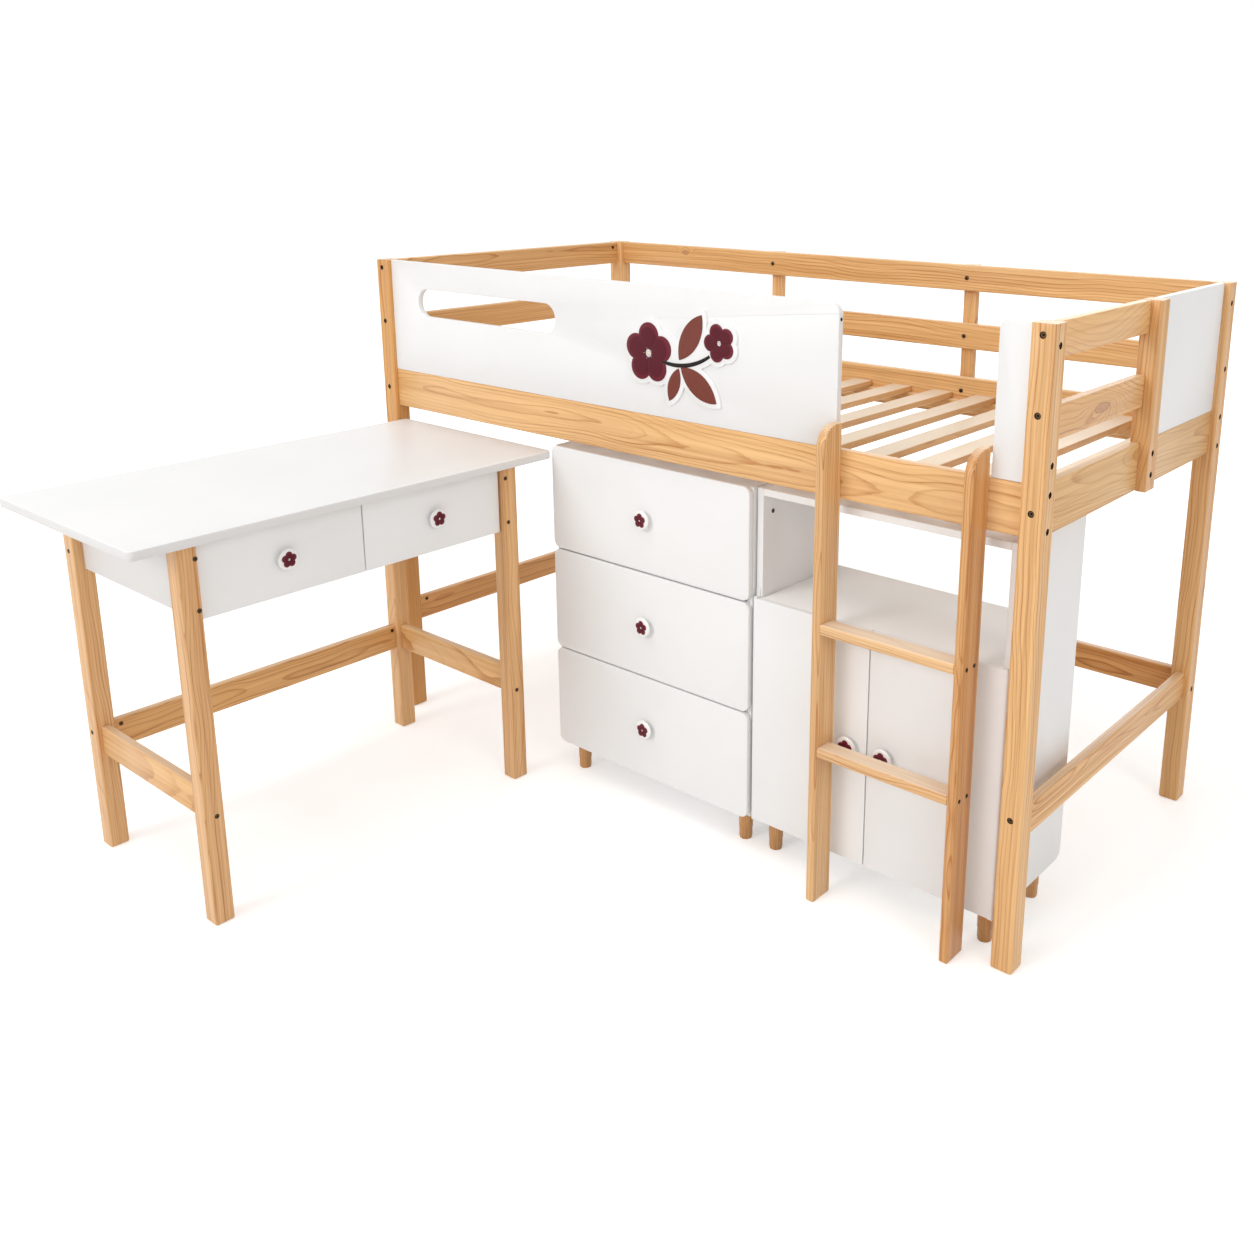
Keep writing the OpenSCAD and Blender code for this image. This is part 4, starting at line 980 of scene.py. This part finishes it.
def cleared(tree):
    for n in list(tree.nodes):
        tree.nodes.remove(n)


def seen_directly(tree):
    """1 for rays from the camera, from glossy surfaces and through clear ones."""
    path = tree.nodes.new("ShaderNodeLightPath")
    return calc(tree, "MAXIMUM", path.outputs["Is Camera Ray"],
                calc(tree, "MAXIMUM", path.outputs["Is Glossy Ray"], path.outputs["Is Transmission Ray"]))


def either(tree, factor, off, on):
    choose = tree.nodes.new("ShaderNodeMixShader")
    tree.links.new(factor, choose.inputs[0])
    tree.links.new(off.outputs[0], choose.inputs[1])
    tree.links.new(on.outputs[0], choose.inputs[2])
    return choose.outputs[0]


bpy.ops.mesh.primitive_plane_add(size=FLOOR_SIZE, location=(0, 0, 0))
floor = bpy.context.object
floor.name = "studio_floor"
m, tree, shader = new_material("studio_floor_paint")
cleared(tree)
out = tree.nodes.new("ShaderNodeOutputMaterial")
diffuse = tree.nodes.new("ShaderNodeBsdfDiffuse")
diffuse.inputs["Color"].default_value = (*FLOOR_COLOUR, 1)
shine = tree.nodes.new("ShaderNodeEmission")
shine.inputs["Color"].default_value = (1, 1, 1, 1)
glow = vcalc(tree, "DISTANCE", tree.nodes.new("ShaderNodeTexCoord").outputs["Object"], GLOW_MIDDLE)
tree.links.new(remap(tree, glow, GLOW_NEAR, GLOW_FAR, GLOW_LOW, GLOW_HIGH, True), shine.inputs["Strength"])
nothing = tree.nodes.new("ShaderNodeEmission")
nothing.inputs["Strength"].default_value = 0.0
add = tree.nodes.new("ShaderNodeAddShader")
tree.links.new(diffuse.outputs[0], add.inputs[0])
tree.links.new(either(tree, seen_directly(tree), nothing, shine), add.inputs[1])
tree.links.new(add.outputs[0], out.inputs[0])
floor.data.materials.append(m)

world = bpy.data.worlds.new("studio")
bpy.context.scene.world = world
world.use_nodes = True
tree = world.node_tree
cleared(tree)
out = tree.nodes.new("ShaderNodeOutputWorld")
seen = tree.nodes.new("ShaderNodeBackground")
seen.inputs["Color"].default_value = (1, 1, 1, 1)
seen.inputs["Strength"].default_value = 1.0
ambient = tree.nodes.new("ShaderNodeBackground")
ambient.inputs["Color"].default_value = (*AMBIENT_COLOUR, 1)
ambient.inputs["Strength"].default_value = AMBIENT
tree.links.new(either(tree, seen_directly(tree), ambient, seen), out.inputs[0])


LAMP_COLOUR = (1.0, 0.994, 0.988)
SIDE_COLOUR = (1.0, 0.992, 0.986)


def area(name, at, target, size, power, colour=LAMP_COLOUR):
    data = bpy.data.lights.new(name, "AREA")
    data.shape = "DISK"
    data.size = size
    data.energy = power
    data.color = colour
    o = bpy.data.objects.new(name, data)
    bpy.context.scene.collection.objects.link(o)
    o.location = at
    o.rotation_euler = (Vector(target) - Vector(at)).to_track_quat("-Z", "Y").to_euler()


area("key_light", (-2.2, -10.5, 5.6), target=(0, 0, 0.7), size=5.0, power=388)
area("side_light", (9.5, -3.4, 5.0), target=(0.2, 0, 0.7), size=5.0, power=192, colour=SIDE_COLOUR)
area("top_light", (-0.7, -1.7, 8.0), target=(-0.2, -0.2, 0.6), size=5.5, power=160)
area("back_light", (-3.0, 10.0, 4.5), target=(0, 0, 0.7), size=5.0, power=120)

# Camera, solved from the photograph's straight edges: focal length and optical centre in pixels,
# the place in the bed's millimetres, and the turn as an axis times an angle
FOCAL = 1249.62
PICTURE = 1254
CENTRE_X = 715.24
CENTRE_Y = 468.94
SENSOR = 36.0
FAR_END = 200
CAMERA_PLACE = place(2757.66, -1932.26, 1517.69)
TURN = Vector((1.73834, 0.63369, -0.48818))
camera = bpy.data.cameras.new("photo_camera")
camera.sensor_fit = "HORIZONTAL"
camera.sensor_width = SENSOR
camera.lens = SENSOR * FOCAL / PICTURE
camera.shift_x = (PICTURE / 2 - CENTRE_X) / PICTURE
camera.shift_y = (CENTRE_Y - PICTURE / 2) / PICTURE
camera.clip_end = FAR_END
eye = bpy.data.objects.new("photo_camera", camera)
bpy.context.scene.collection.objects.link(eye)
rows = Matrix.Rotation(TURN.length, 3, TURN.normalized())
right = Vector(rows[0])
up = -Vector(rows[1])
back = -Vector(rows[2])
turned = Matrix((right, up, back)).transposed().to_4x4()
eye.matrix_world = Matrix.Translation(CAMERA_PLACE) @ turned
bpy.context.scene.camera = eye
bpy.context.scene.view_settings.view_transform = "Standard"
